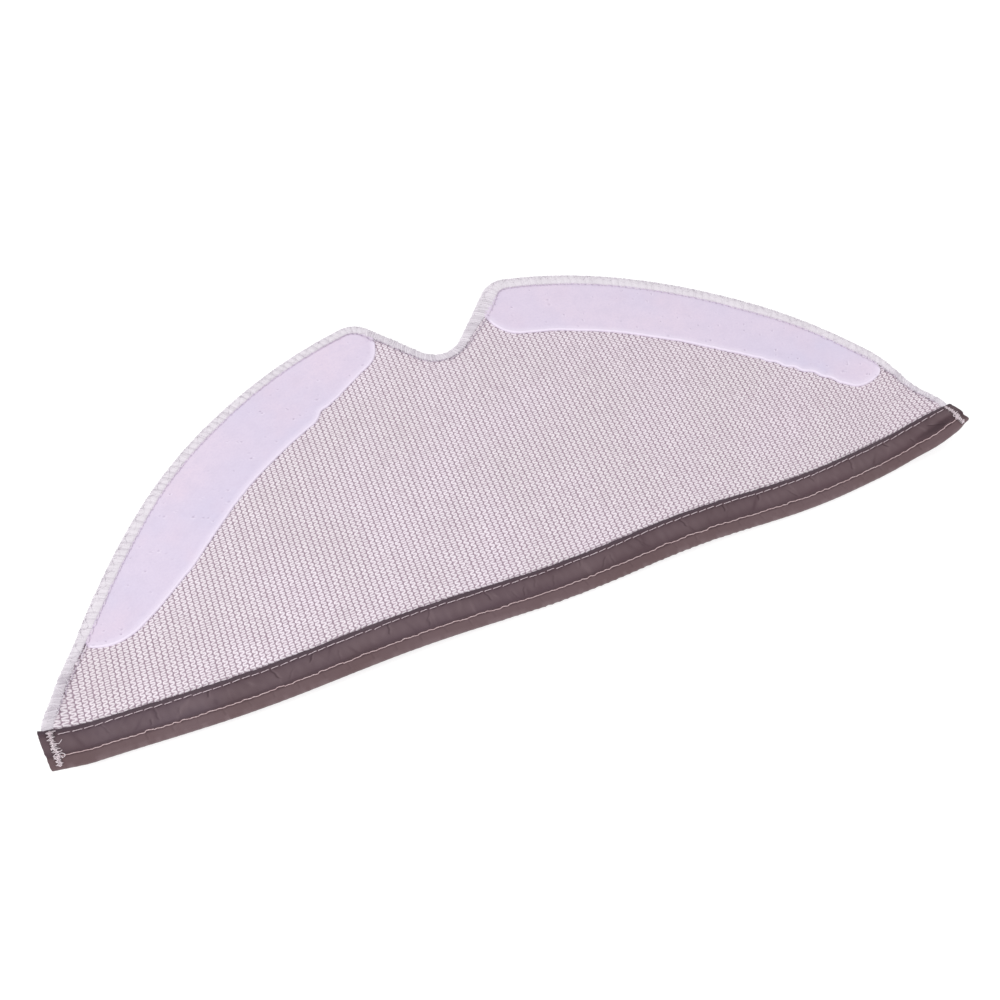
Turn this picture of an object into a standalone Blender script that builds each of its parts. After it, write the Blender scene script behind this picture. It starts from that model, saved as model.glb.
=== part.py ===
"""Half-moon mop cloth for a robot vacuum: knitted cloth, two loop strips, an overlocked
curved edge and a stiffened binding on the straight edge.

Metres, +Z up. X runs along the straight edge, Y from the binding towards the notch, Z from
the floor side (pile) to the robot side (loop strips). The origin is the centre of the
bounding box's bottom face. All sizes below are in millimetres, with Y measured from the
binding's inner lip, the one towards the cloth."""

import math

import bmesh
import bpy

MILLIMETRE = 0.001

# ---- outline -----------------------------------------------------------------------------
LENGTH = 290.0            # straight edge, end to end
EDGE_RADIUS = 151.0       # circular edge
EDGE_CENTRE_Y = -44.5     # centre of that circle
NOTCH_BOTTOM_Y = 82.0     # deepest point of the notch
NOTCH_RADIUS = 9.0        # round bottom of the notch
NOTCH_SLOPE = 48.5        # degrees, slope of the notch's sides
LOBE_RADIUS = 9.5         # round corner between a notch side and the circular edge

# ---- layer heights from the floor side: (bottom, top) ------------------------------------
GAP = 0.3                 # clearance between neighbouring pieces
PILE_Z = (0.0, 2.0)
KNIT_Z = (PILE_Z[1] + GAP, 3.3)
STRIP_Z = (KNIT_Z[1] + GAP, 4.0)
LOOPER_TOP_Z = (KNIT_Z[1] + GAP, 4.1)
LOOPER_LOW_Z = (1.4, 1.9)
WEB_SPLIT_Z = (2.6, 2.6 + GAP)   # ends of the lower and the upper looper thread
BINDING_Z = (0.7, 3.6)
FLANGE_TOP_Z = 2.75
HEM_Z = (1.4, 2.0)
STIFFENER_Z = (HEM_Z[1] + GAP, 2.9)

# ---- fold line beside the binding --------------------------------------------------------
FLEX_Y = 2.0
FLEX_Z = KNIT_Z[1] / 2.0  # mid-thickness of the cloth
FLEX_MIN_DEPTH = 0.02     # least depth of the rounded edge behind the fold line
FLEX_STEPS = 6            # steps through the thickness of each layer

# ---- overlock ----------------------------------------------------------------------------
OVERLOCK_WIDTH = 3.3      # thread wrap on the curved edge
LOOPER_WEB = 0.55         # thickness of the wrap round the edge
LOOPER_START_Y = FLEX_Y + 3.2      # leaves room for the fold beside the binding
NEEDLE_START_Y = LOOPER_START_Y + 0.2
NEEDLE_INSET = OVERLOCK_WIDTH - 0.5
OVERLOCK_THREAD_D = 0.30

# ---- loop strips -------------------------------------------------------------------------
STRIP_WIDTH = 20.0
STRIP_INSET = 3.7         # its outer edge, from the cloth's edge
STRIP_OUTER_END = 59.0    # degrees from +Y, centre of the round outer end
STRIP_INNER_END = 10.4    # degrees from +Y, centre of the round inner end
STRIP_MIN_WIDTH = 0.3     # narrower parts of the inner end are left out
STRIP_MIN_SPACING = 0.4   # outline points closer than this are merged

# ---- binding -----------------------------------------------------------------------------
BINDING_WIDTH = 10.4      # lip to fold
TAPE_THICKNESS = 0.4
CHANNEL_END_Y = -6.3      # where the raised channel steps down to the flange
STEP_FOOT_Y = CHANNEL_END_Y - 0.9          # foot of the step, outer face
INNER_STEP_HEAD_Y = CHANNEL_END_Y + 0.1    # head of the step, inner face
INNER_STEP_FOOT_Y = CHANNEL_END_Y - 0.75   # foot of the step, inner face
HEM_Y = (-9.2, -0.1)
HEM_END_INSET = 1.0       # from each end of the tape
STIFFENER_Y = (-6.0, -1.9)
STIFFENER_END_INSET = 6.0

# ---- sewing ------------------------------------------------------------------------------
THREAD_D = 0.34
THREAD_RISE = GAP + THREAD_D / 2.0         # from a tape face to a thread's centre
STITCH = 2.6              # lockstitch length
STITCH_CROWN = 0.12       # rise of the needle thread in the middle of a stitch
INNER_SEAM_Y = -1.3       # stitch row beside the cloth
OUTER_SEAM_Y = -7.0       # stitch row by the fold
INNER_NEEDLE_Z = BINDING_Z[1] + THREAD_RISE
OUTER_NEEDLE_Z = FLANGE_TOP_Z + 0.65 + THREAD_RISE   # raised to pass over the step
BOBBIN_Z = BINDING_Z[0] - THREAD_RISE + 0.05

BARTACK_X = LENGTH / 2.0 - 2.4             # middle of a bartack, from the centre
BARTACK_AMP = 0.8
BARTACK_PITCH = 1.15
BARTACK_Y = (-0.9, -BINDING_WIDTH + 1.0)   # first and last stitch
BARTACK_LIFT = 0.05       # extra height of its needle thread over the tape
BARTACK_BOBBIN_Z = BOBBIN_Z - 0.02
BARTACK_RAMP_Y = CHANNEL_END_Y - 0.5       # the needle thread starts down to the flange here
BARTACK_RAMP_LENGTH = 1.6
SEAM_REACH = BARTACK_X - BARTACK_AMP - 0.9  # the seams stop short of the bartacks


# ---- outline geometry --------------------------------------------------------------------
def arc(centre, radius, start, end, steps):
    """Points on an arc, from one angle to the other."""
    points = []
    for i in range(steps + 1):
        angle = start + (end - start) * i / steps
        points.append((centre[0] + radius * math.cos(angle),
                       centre[1] + radius * math.sin(angle)))
    return points


def lobe_centre():
    """Centre of the right lobe corner: LOBE_RADIUS inside the notch side and the circle."""
    slope = math.radians(NOTCH_SLOPE)
    side_x, side_y = math.cos(slope), math.sin(slope)
    # from the circle's centre to a point LOBE_RADIUS inside the notch side
    offset = NOTCH_RADIUS + LOBE_RADIUS
    base_x = side_y * offset
    base_y = NOTCH_BOTTOM_Y + NOTCH_RADIUS - side_x * offset - EDGE_CENTRE_Y
    # slide along the side until the corner touches the circle
    along = base_x * side_x + base_y * side_y
    rest = base_x ** 2 + base_y ** 2 - (EDGE_RADIUS - LOBE_RADIUS) ** 2
    slide = -along + math.sqrt(along * along - rest)
    return base_x + side_x * slide, base_y + side_y * slide + EDGE_CENTRE_Y


def half_outline(inset, y_end, n_notch=7, n_lobe=8, n_arc=36):
    """Right half of the cloth's edge, moved inwards by inset: notch arc, straight notch side,
    lobe corner and circular edge, ending at height y_end."""
    slope = math.radians(NOTCH_SLOPE)
    notch = arc((0.0, NOTCH_BOTTOM_Y + NOTCH_RADIUS), NOTCH_RADIUS + inset,
                -math.pi / 2, slope - math.pi / 2, n_notch)
    lobe = lobe_centre()
    tangent_angle = math.atan2(lobe[1] - EDGE_CENTRE_Y, lobe[0])
    corner = arc(lobe, LOBE_RADIUS - inset, slope + math.pi / 2, tangent_angle, n_lobe)
    radius = EDGE_RADIUS - inset
    end_angle = math.asin((y_end - EDGE_CENTRE_Y) / radius)
    edge = arc((0.0, EDGE_CENTRE_Y), radius, tangent_angle, end_angle, n_arc)
    return notch + corner + edge[1:]


def whole_edge(inset, y_end, **counts):
    """The edge from its left end, round the notch, to its right end."""
    right = half_outline(inset, y_end, **counts)
    left = [(-x, y) for x, y in right[1:]]
    return left[::-1] + right


LOBE_TOP = max(y for _, y in half_outline(0.0, FLEX_Y, n_lobe=200))
Y_SHIFT = -(LOBE_TOP - BINDING_WIDTH) / 2.0   # centres the whole cloth in Y


def to_scene(x, y, z):
    """A drawing point in scene coordinates."""
    return (x * MILLIMETRE, (y + Y_SHIFT) * MILLIMETRE, z * MILLIMETRE)


# ---- scene -------------------------------------------------------------------------------
for old_object in list(bpy.data.objects):
    bpy.data.objects.remove(old_object, do_unlink=True)

parts = bpy.data.collections.new("mop_cloth")
bpy.context.scene.collection.children.link(parts)


def empty(name, location):
    """An empty that carries a group of pieces."""
    item = bpy.data.objects.new(name, None)
    item.location = location
    parts.objects.link(item)
    return item


cloth = empty("cloth_panel", to_scene(0.0, FLEX_Y, FLEX_Z))   # on the fold line
binding = empty("binding", to_scene(0.0, 0.0, BINDING_Z[0]))
bpy.context.view_layer.update()   # the parent inverses below need the empties' matrices


def material(name, colour, roughness):
    result = bpy.data.materials.new(name)
    result.use_nodes = True
    shader = result.node_tree.nodes["Principled BSDF"]
    shader.inputs["Base Color"].default_value = (*colour, 1.0)
    shader.inputs["Roughness"].default_value = roughness
    shader.inputs["Metallic"].default_value = 0.0
    result.diffuse_color = (*colour, 1.0)
    return result


KNIT = material("knit_yarn", colour=(0.74, 0.68, 0.73), roughness=0.85)
PILE = material("microfibre_pile", colour=(0.80, 0.77, 0.80), roughness=0.95)
LOOP = material("loop_tape", colour=(0.75, 0.68, 0.81), roughness=0.75)
OVERLOCK = material("overlock_thread", colour=(0.66, 0.62, 0.67), roughness=0.7)
TAPE = material("binding_tape", colour=(0.13, 0.095, 0.115), roughness=0.5)
WHITE = material("white_thread", colour=(0.80, 0.72, 0.76), roughness=0.6)
CREAM = material("cream_thread", colour=(0.58, 0.44, 0.44), roughness=0.6)
PLASTIC = material("stiffener_plastic", colour=(0.70, 0.72, 0.74), roughness=0.35)


# ---- ways to build a piece ---------------------------------------------------------------
def add_part(name, data, surface, parent):
    """Adds an object under its parent, which leaves its place in the scene unchanged."""
    data.materials.append(surface)
    part = bpy.data.objects.new(name, data)
    parts.objects.link(part)
    part.parent = parent
    part.matrix_parent_inverse = parent.matrix_world.inverted()
    return part


def add_spline(curve, points, cyclic):
    """Adds straight segments through points given in metres."""
    spline = curve.splines.new("POLY")
    spline.points.add(len(points) - 1)
    for spline_point, point in zip(spline.points, points):
        spline_point.co = (*point, 1.0)
    spline.use_cyclic_u = cyclic


def filled_outline(name, points, half_depth, surface, parent):
    """A closed outline in the object's XY plane, filled and extruded both ways."""
    curve = bpy.data.curves.new(name, "CURVE")
    curve.dimensions = "2D"
    curve.fill_mode = "BOTH"
    curve.extrude = half_depth * MILLIMETRE
    add_spline(curve, points, cyclic=True)
    return add_part(name, curve, surface, parent)


def flat(name, outline, z_range, surface, parent):
    """A flat piece of even thickness, from an outline in X and Y."""
    bottom, top = z_range
    points = [to_scene(x, y, 0.0) for x, y in outline]
    part = filled_outline(name, points, (top - bottom) / 2.0, surface, parent)
    part.location.z = (bottom + top) / 2.0 * MILLIMETRE


def bar(name, section, half_length, surface, parent):
    """A constant section in Y and Z, run along X."""
    points = [(*to_scene(0.0, y, z)[1:], 0.0) for y, z in section]
    part = filled_outline(name, points, half_length, surface, parent)
    part.rotation_euler = (math.radians(90), 0.0, math.radians(90))


def thread(name, points, diameter, surface, parent):
    """A round wire through the points."""
    curve = bpy.data.curves.new(name, "CURVE")
    curve.dimensions = "3D"
    curve.twist_mode = "Z_UP"
    curve.bevel_depth = diameter / 2.0 * MILLIMETRE
    curve.bevel_resolution = 0
    curve.use_fill_caps = True
    add_spline(curve, [to_scene(*point) for point in points], cyclic=False)
    add_part(name, curve, surface, parent)


def loft(name, rings, surface, parent):
    """A closed skin through rings of equally many points, capped at both ends."""
    builder = bmesh.new()
    vert_rings = [[builder.verts.new(to_scene(*point)) for point in ring] for ring in rings]
    count = len(rings[0])
    for ring, following in zip(vert_rings, vert_rings[1:]):
        for j in range(count):
            k = (j + 1) % count
            builder.faces.new((ring[j], ring[k], following[k], following[j]))
    builder.faces.new(vert_rings[0])
    builder.faces.new(vert_rings[-1])
    bmesh.ops.recalc_face_normals(builder, faces=builder.faces)
    mesh = bpy.data.meshes.new(name)
    builder.to_mesh(mesh)
    builder.free()
    add_part(name, mesh, surface, parent)


# ---- cloth: knitted ground above, pile below ---------------------------------------------
def cloth_layer(name, inset, z_range, surface):
    """A layer of the cloth, lofted upwards. Beside the binding its edge is rounded about the
    fold line, so the cloth can fold either way without touching the binding."""
    bottom, top = z_range
    edge = whole_edge(inset, FLEX_Y)
    x_end = edge[-1][0]
    rings = []
    for i in range(FLEX_STEPS + 1):
        z = bottom + (top - bottom) * i / FLEX_STEPS
        depth = math.sqrt(max(0.0, FLEX_Z ** 2 - (z - FLEX_Z) ** 2))
        y_back = FLEX_Y - max(depth, FLEX_MIN_DEPTH)
        outline = edge + [(x_end, y_back), (-x_end, y_back)]
        rings.append([(x, y, z) for x, y in outline])
    loft(name, rings, surface, cloth)


cloth_layer("knit_backing", LOOPER_WEB + GAP, KNIT_Z, KNIT)
cloth_layer("microfibre_pile", OVERLOCK_WIDTH + GAP, PILE_Z, PILE)


# ---- loop strips: tape bent along the edge, with round ends ------------------------------
def polar_edge(inset):
    """The inset edge as (angle from +Y, radius) about the circle's centre, right half."""
    outline = half_outline(inset, 0.0, n_notch=24, n_lobe=24, n_arc=120)
    return [(math.atan2(x, y - EDGE_CENTRE_Y), math.hypot(x, y - EDGE_CENTRE_Y))
            for x, y in outline]


def radius_at(table, angle):
    """Radius at an angle, interpolated in a table from polar_edge."""
    for (angle_a, radius_a), (angle_b, radius_b) in zip(table, table[1:]):
        if angle_a <= angle <= angle_b:
            return radius_a + (radius_b - radius_a) * (angle - angle_a) / (angle_b - angle_a)
    return table[-1][1]


def strip_ring(half, middle, inner_end, outer_end, cap_steps=14, run_steps=26):
    """The whole strip as (angle, radius) points, before the notch cuts it."""
    span = outer_end - inner_end
    ring = []
    for i in range(run_steps + 1):             # outer side, notch to end
        ring.append((inner_end + span * i / run_steps, middle + half))
    for i in range(1, cap_steps):              # round outer end
        turn = math.pi / 2 - math.pi * i / cap_steps
        ring.append((outer_end + half * math.cos(turn) / middle,
                     middle + half * math.sin(turn)))
    for i in range(run_steps + 1):             # inner side, end to notch
        ring.append((outer_end - span * i / run_steps, middle - half))
    for i in range(1, cap_steps):              # round inner end
        turn = -math.pi / 2 - math.pi * i / cap_steps
        ring.append((inner_end + half * math.cos(turn) / middle,
                     middle + half * math.sin(turn)))
    return ring


def strip_outline(sign):
    """Outline of one strip, kept STRIP_INSET inside the cloth's edge."""
    half = STRIP_WIDTH / 2.0
    middle = EDGE_RADIUS - STRIP_INSET - half
    inner_end = math.radians(STRIP_INNER_END)
    outer_end = math.radians(STRIP_OUTER_END)
    limit = polar_edge(STRIP_INSET)
    points = []
    for angle, radius in strip_ring(half, middle, inner_end, outer_end):
        highest = radius_at(limit, angle)
        past_end = max(0.0, inner_end - angle) * middle
        lowest = middle - math.sqrt(max(0.0, half * half - past_end * past_end))
        if lowest > highest - STRIP_MIN_WIDTH:
            continue                           # the round end is cut off by the notch
        radius = min(radius, highest)
        point = (sign * radius * math.sin(angle), EDGE_CENTRE_Y + radius * math.cos(angle))
        if not points or math.dist(point, points[-1]) > STRIP_MIN_SPACING:
            points.append(point)
    return points


flat("loop_strip_left", strip_outline(-1), STRIP_Z, LOOP, cloth)
flat("loop_strip_right", strip_outline(1), STRIP_Z, LOOP, cloth)


# ---- overlock: two looper threads wrap the edge, a needle thread lies on top -------------
def looper(name, section):
    """Half of the wrap: an L of (inset, z) points swept along the curved edge."""
    rows = {inset: whole_edge(inset, LOOPER_START_Y, n_notch=6, n_lobe=7, n_arc=32)
            for inset, _ in section}
    rings = []
    for k in range(len(rows[0.0])):
        rings.append([(*rows[inset][k], z) for inset, z in section])
    loft(name, rings, OVERLOCK, cloth)


# flange on the cloth's top face, web hanging down round the edge
looper("overlock_upper_looper_thread", [
    (0.0, LOOPER_TOP_Z[1]),
    (OVERLOCK_WIDTH, LOOPER_TOP_Z[1]),
    (OVERLOCK_WIDTH, LOOPER_TOP_Z[0]),
    (LOOPER_WEB, LOOPER_TOP_Z[0]),
    (LOOPER_WEB, WEB_SPLIT_Z[1]),
    (0.0, WEB_SPLIT_Z[1]),
])
# flange below the knit, web standing up round the edge
looper("overlock_lower_looper_thread", [
    (0.0, LOOPER_LOW_Z[0]),
    (0.0, WEB_SPLIT_Z[0]),
    (LOOPER_WEB, WEB_SPLIT_Z[0]),
    (LOOPER_WEB, LOOPER_LOW_Z[1]),
    (OVERLOCK_WIDTH, LOOPER_LOW_Z[1]),
    (OVERLOCK_WIDTH, LOOPER_LOW_Z[0]),
])


def overlock_needle_line():
    """The needle thread runs above the flange, near its inner edge."""
    path = whole_edge(NEEDLE_INSET, NEEDLE_START_Y, n_notch=6, n_lobe=7, n_arc=40)
    z = LOOPER_TOP_Z[1] + GAP + OVERLOCK_THREAD_D / 2.0
    return [(x, y, z) for x, y in path]


thread("overlock_needle_thread", overlock_needle_line(), OVERLOCK_THREAD_D, OVERLOCK, cloth)


# ---- binding: tape folded round the hem and the stiffener --------------------------------
def tape_section():
    """The tape's section: raised channel, step, flange, round fold and flat underside."""
    bottom, top = BINDING_Z
    thickness = TAPE_THICKNESS
    radius = (FLANGE_TOP_Z - bottom) / 2.0
    centre = (-BINDING_WIDTH + radius, (bottom + FLANGE_TOP_Z) / 2.0)
    outer = [(0.0, top), (CHANNEL_END_Y, top), (STEP_FOOT_Y, FLANGE_TOP_Z)]
    outer += arc(centre, radius, math.pi / 2, math.pi * 1.5, 8)
    outer.append((0.0, bottom))
    inner = [(0.0, top - thickness), (INNER_STEP_HEAD_Y, top - thickness),
             (INNER_STEP_FOOT_Y, FLANGE_TOP_Z - thickness)]
    inner += arc(centre, radius - thickness, math.pi / 2, math.pi * 1.5, 8)
    inner.append((0.0, bottom + thickness))
    return outer + inner[::-1]


def rectangle(y_range, z_range):
    (y_min, y_max), (z_min, z_max) = y_range, z_range
    return [(y_min, z_min), (y_max, z_min), (y_max, z_max), (y_min, z_max)]


bar("binding_tape", tape_section(), LENGTH / 2.0, TAPE, binding)
bar("cloth_hem", rectangle(HEM_Y, HEM_Z), LENGTH / 2.0 - HEM_END_INSET, KNIT, binding)
bar("stiffener_strip", rectangle(STIFFENER_Y, STIFFENER_Z),
    LENGTH / 2.0 - STIFFENER_END_INSET, PLASTIC, binding)


# ---- lockstitch rows: needle thread on the robot side, bobbin thread on the floor side ---
STITCH_COUNT = int(2 * SEAM_REACH / STITCH)
SEAM_START_X = -STITCH_COUNT * STITCH / 2.0


def needle_line(y, z):
    """Stands up in the middle of each stitch and is pulled down at its ends."""
    points = []
    for i in range(STITCH_COUNT):
        x = SEAM_START_X + i * STITCH
        points += [(x, y, z), (x + STITCH * 0.5, y, z + STITCH_CROWN)]
    points.append((SEAM_START_X + STITCH_COUNT * STITCH, y, z))
    return points


def bobbin_line(y):
    """Pulled straight."""
    return [(SEAM_START_X, y, BOBBIN_Z), (-SEAM_START_X, y, BOBBIN_Z)]


for row, seam_y, needle_z, colour in (
    ("inner", INNER_SEAM_Y, INNER_NEEDLE_Z, WHITE),
    ("outer", OUTER_SEAM_Y, OUTER_NEEDLE_Z, CREAM),
):
    thread(f"{row}_seam_needle_thread", needle_line(seam_y, needle_z), THREAD_D, colour, binding)
    thread(f"{row}_seam_bobbin_thread", bobbin_line(seam_y), THREAD_D, colour, binding)


# ---- bartacks: a dense zigzag across each end of the binding -----------------------------
def bartack_line(sign, height_at):
    """A zigzag from the lip towards the fold; height_at gives its z at each y."""
    first, last = BARTACK_Y
    count = int(abs(last - first) / (BARTACK_PITCH / 2.0))
    points = []
    for i in range(count + 1):
        y = first + (last - first) * i / count
        x = sign * (BARTACK_X + (BARTACK_AMP if i % 2 else -BARTACK_AMP))
        points.append((x, y, height_at(y)))
    return points


def above_tape(y):
    """Height of a thread lying over the channel, the step and the flange."""
    high = BINDING_Z[1] + THREAD_RISE + BARTACK_LIFT
    low = FLANGE_TOP_Z + THREAD_RISE + BARTACK_LIFT
    fraction = min(1.0, max(0.0, (BARTACK_RAMP_Y - y) / BARTACK_RAMP_LENGTH))
    return high + (low - high) * fraction


def below_tape(_y):
    return BARTACK_BOBBIN_Z


for side, side_sign in (("left", -1), ("right", 1)):
    for kind, height in (("needle", above_tape), ("bobbin", below_tape)):
        thread(f"bartack_{side}_{kind}_thread", bartack_line(side_sign, height),
               THREAD_D, WHITE, binding)

bpy.context.view_layer.update()
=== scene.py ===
"""Looks of the half-moon mop cloth: knitted ground, loop strips, overlocked edge and stitched
binding, lying robot side up on a pale floor. Lengths are millimetres in the cloth's flat
pattern: x along the straight edge, y from the binding's lip towards the notch, z up. The binding
lies at negative y. place() drapes the pattern and turns it into metres in the frame."""
import math

import bmesh
import bpy
import numpy as np
from mathutils import Matrix, Vector


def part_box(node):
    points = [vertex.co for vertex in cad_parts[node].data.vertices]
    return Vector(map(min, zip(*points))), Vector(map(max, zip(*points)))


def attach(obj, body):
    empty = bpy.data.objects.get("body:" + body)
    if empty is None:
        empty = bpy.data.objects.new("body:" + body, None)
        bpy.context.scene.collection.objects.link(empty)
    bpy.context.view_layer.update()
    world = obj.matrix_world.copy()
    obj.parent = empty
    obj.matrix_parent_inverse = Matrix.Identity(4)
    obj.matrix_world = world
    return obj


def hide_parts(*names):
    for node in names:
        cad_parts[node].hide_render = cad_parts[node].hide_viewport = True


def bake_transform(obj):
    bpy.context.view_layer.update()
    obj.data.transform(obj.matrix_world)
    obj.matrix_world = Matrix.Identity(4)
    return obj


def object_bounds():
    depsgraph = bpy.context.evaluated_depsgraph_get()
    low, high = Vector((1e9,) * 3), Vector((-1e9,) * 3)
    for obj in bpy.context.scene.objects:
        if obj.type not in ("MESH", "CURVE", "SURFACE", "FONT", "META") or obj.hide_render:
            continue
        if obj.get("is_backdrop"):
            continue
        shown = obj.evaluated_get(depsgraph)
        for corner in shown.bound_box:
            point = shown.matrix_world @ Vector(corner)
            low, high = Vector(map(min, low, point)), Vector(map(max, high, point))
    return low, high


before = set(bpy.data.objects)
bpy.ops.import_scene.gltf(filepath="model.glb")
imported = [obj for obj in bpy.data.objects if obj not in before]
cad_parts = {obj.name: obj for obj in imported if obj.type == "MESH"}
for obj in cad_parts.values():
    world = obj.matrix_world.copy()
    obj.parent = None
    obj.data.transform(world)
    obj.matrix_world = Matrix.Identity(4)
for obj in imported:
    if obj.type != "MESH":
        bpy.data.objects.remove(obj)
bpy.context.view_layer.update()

MM = 0.001

# ---- places read from the frame -------------------------------------------------------------
tape_low, tape_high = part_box("binding_tape")
LIP_Y = tape_high[1] / MM               # the binding's lip, in the frame's y
HALF = tape_high[0] / MM                # half the straight edge
KNIT_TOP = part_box("knit_backing")[1][2] / MM
STRIP_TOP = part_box("loop_strip_left")[1][2] / MM
TAPE_TOP = tape_high[2] / MM
TAPE_LOW = tape_low[2] / MM
BAND = (tape_high[1] - tape_low[1]) / MM    # the binding's width

# ---- the flat pattern -----------------------------------------------------------------------
RIM_R, RIM_Y = 151.0, -44.5             # the round edge and its centre
NOTCH_Y, NOTCH_R = 91.0, 9.0            # the notch's round bottom
NOTCH_ANGLE = math.radians(48.5)        # its walls, from the y axis
LOBE_X, LOBE_Y, LOBE_R = 27.604, 94.281, 9.5    # the round corner beside the notch
STRIP_OUTER_R = RIM_R - 3.7
STRIP_MID_R = 137.0
STRIP_BASE_Z = 3.42
# Per side, in millimetres and degrees from +y: inner radius, how far it steps out and between
# which angles, its lean beside the notch, its drift outwards (start, span, amount), and start,
# end and squareness of its two rounded ends.
STRIPS = {-1: dict(inner=124.4, wide=3.4, wide_at=(25.0, 16.0), lean=0.75,
                   drift=(44.0, 19.0, 12.5), near=(11.0, 7.8, 2.5), far=(58.8, 63.0, 2.8)),
          1: dict(inner=126.4, wide=0.6, wide_at=(25.0, 16.0), lean=0.0,
                  drift=(30.0, 33.0, 10.5), near=(12.5, 6.6, 2.1), far=(60.0, 63.7, 2.9))}
WRAP = 3.3                              # overlock width
WRAP_END_Y = 0.15                       # where the overlock ends, beside the binding's lip
OVER_PITCH = 2.45                       # one overlock stitch


# ---- curves and value noise -----------------------------------------------------------------
def smooth(start, end, x):
    """Eased step from 0 at start to 1 at end."""
    t = np.clip((x - start) / (end - start), 0, 1)
    return t * t * (3 - 2 * t)


def bell(x, centre, width):
    return np.exp(-((x - centre) / width) ** 2)


noise_table = np.random.default_rng(11).random((256, 256))


def noise(x, y, seed):
    """Smooth noise from -1 to 1 with one cell per unit."""
    x, y = np.asarray(x, float) + 37.3 * seed, np.asarray(y, float) + 91.7 * seed
    column, row = np.floor(x).astype(int), np.floor(y).astype(int)
    fx, fy = x - column, y - row
    fx, fy = fx * fx * (3 - 2 * fx), fy * fy * (3 - 2 * fy)

    def corner(dx, dy):
        return noise_table[(column + dx) % 256, (row + dy) % 256]

    return ((corner(0, 0) * (1 - fx) + corner(1, 0) * fx) * (1 - fy)
            + (corner(0, 1) * (1 - fx) + corner(1, 1) * fx) * fy) * 2 - 1


def noise_over(x, y, size, seed):
    return noise(x / size, y / size, seed)


def noise_along(x, size, seed):
    return noise(x / size, x * 0, seed)


# ---- measures in the pattern ----------------------------------------------------------------
def rim_polar(x, y):
    """Radius about the round edge's centre, and angle from +y in degrees."""
    return np.hypot(x, y - RIM_Y), np.degrees(np.arctan2(x, y - RIM_Y))


def wider(x):
    """Extra overlock width as a share: along the right half, most of all on the notch's right
    wall, and down the left side. It is narrower beside the binding's ends."""
    right = 0.28 * smooth(8.0, 20.0, x) * smooth(122.0, 100.0, x)
    notch_wall = 0.5 * bell(x, 17.5, 7.5) * smooth(4.0, 8.0, x)
    left = ((0.10 + 0.26 * smooth(-92.0, -116.0, x)) * smooth(-55.0, -80.0, x)
            * smooth(-139.0, -131.0, x))
    return right + notch_wall + left - 0.16 * smooth(127.0, 134.0, np.abs(x))


def stitch_wave(length, depth):
    """1 on the puff of each overlock stitch and -1 at the needle's hole. length runs along the
    cut edge from its left end, depth is the distance inwards."""
    return np.cos(2 * math.pi * (length - 0.5 * depth) / OVER_PITCH
                  + 1.4 * noise_along(length, 11, 36))


def needle_holes(length):
    """Where the overlock's needle goes down, as lengths along the cut edge."""
    turns = (length - 1.64) / OVER_PITCH + 1.4 * noise_along(length, 11, 36) / (2 * math.pi)
    return np.interp(np.arange(math.ceil(turns[0]), int(turns[-1])) + 0.5, turns, length)


def inset(x, y):
    """Distance inside the cloth's cut edge."""
    x = np.abs(x)
    rim = RIM_R - np.hypot(x, y - RIM_Y)
    from_notch = y - NOTCH_Y
    wall = x * math.sin(NOTCH_ANGLE) - from_notch * math.cos(NOTCH_ANGLE) - NOTCH_R
    notch = np.where(np.arctan2(x, -from_notch) < NOTCH_ANGLE,
                     np.hypot(x, from_notch) - NOTCH_R, wall)
    corner = (notch < LOBE_R) & (rim < LOBE_R)
    return np.where(corner, LOBE_R - np.hypot(x - LOBE_X, y - LOBE_Y), np.minimum(notch, rim))


def strip_inner(sign, degrees):
    """Inner edge of a loop strip, as a radius, at an angle from +y in degrees."""
    strip = STRIPS[sign]
    drift_start, drift_span, drift = strip["drift"]
    degrees = np.asarray(degrees, float)
    radius = (strip["inner"] + strip["wide"] * smooth(*strip["wide_at"], degrees)
              + strip["lean"] * np.clip(17.0 - degrees, 0, None)
              + drift * np.clip((degrees - drift_start) / drift_span, 0, None) ** 2)
    turn = np.zeros_like(radius)
    for start, end, power in (strip["near"], strip["far"]):
        t = np.clip((degrees - start) / (end - start), 0, 1)
        turn = np.maximum(turn, 1 - (1 - t ** power) ** (1 / power))
    return radius + (STRIP_OUTER_R + 1.2 - radius) * turn


def edge_path(depth, y_end, step):
    """The cut edge moved inwards by depth, from the left end over the notch to the right end:
    lengths along it, evenly spaced points and their outward directions."""
    half = []                           # x, y, outward x, outward y
    for t in np.linspace(0, NOTCH_ANGLE, 60):
        sine, cosine = math.sin(t), math.cos(t)
        radius = NOTCH_R + depth
        half.append((radius * sine, NOTCH_Y - radius * cosine, -sine, cosine))

    def arc(x, y, radius, angles):
        for t in angles:
            dx, dy = math.cos(t), math.sin(t)
            half.append((x + radius * dx, y + radius * dy, dx, dy))

    lobe_start = math.atan2(math.cos(NOTCH_ANGLE), -math.sin(NOTCH_ANGLE))
    lobe_end = math.atan2(LOBE_Y - RIM_Y, LOBE_X)
    arc(LOBE_X, LOBE_Y, LOBE_R - depth, np.linspace(lobe_start, lobe_end, 80))
    radius = RIM_R - depth
    rim_end = math.asin((y_end - RIM_Y) / radius)
    arc(0.0, RIM_Y, radius, np.linspace(lobe_end, rim_end, 700)[1:])
    half = np.array(half)
    path = np.vstack([half[::-1] * (-1, 1, -1, 1), half[1:]])
    at = np.concatenate([[0], np.cumsum(np.hypot(*np.diff(path[:, :2], axis=0).T))])
    length = np.linspace(0, at[-1], max(2, int(at[-1] / step)) + 1)
    path = np.column_stack([np.interp(length, at, column) for column in path.T])
    points, outward = path[:, :2], path[:, 2:]
    return length, points, outward / np.linalg.norm(outward, axis=1, keepdims=True)


def inwards(points, outward, depth):
    """x and y of points moved inwards by depth."""
    return (points - outward * np.reshape(depth, (-1, 1))).T


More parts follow.
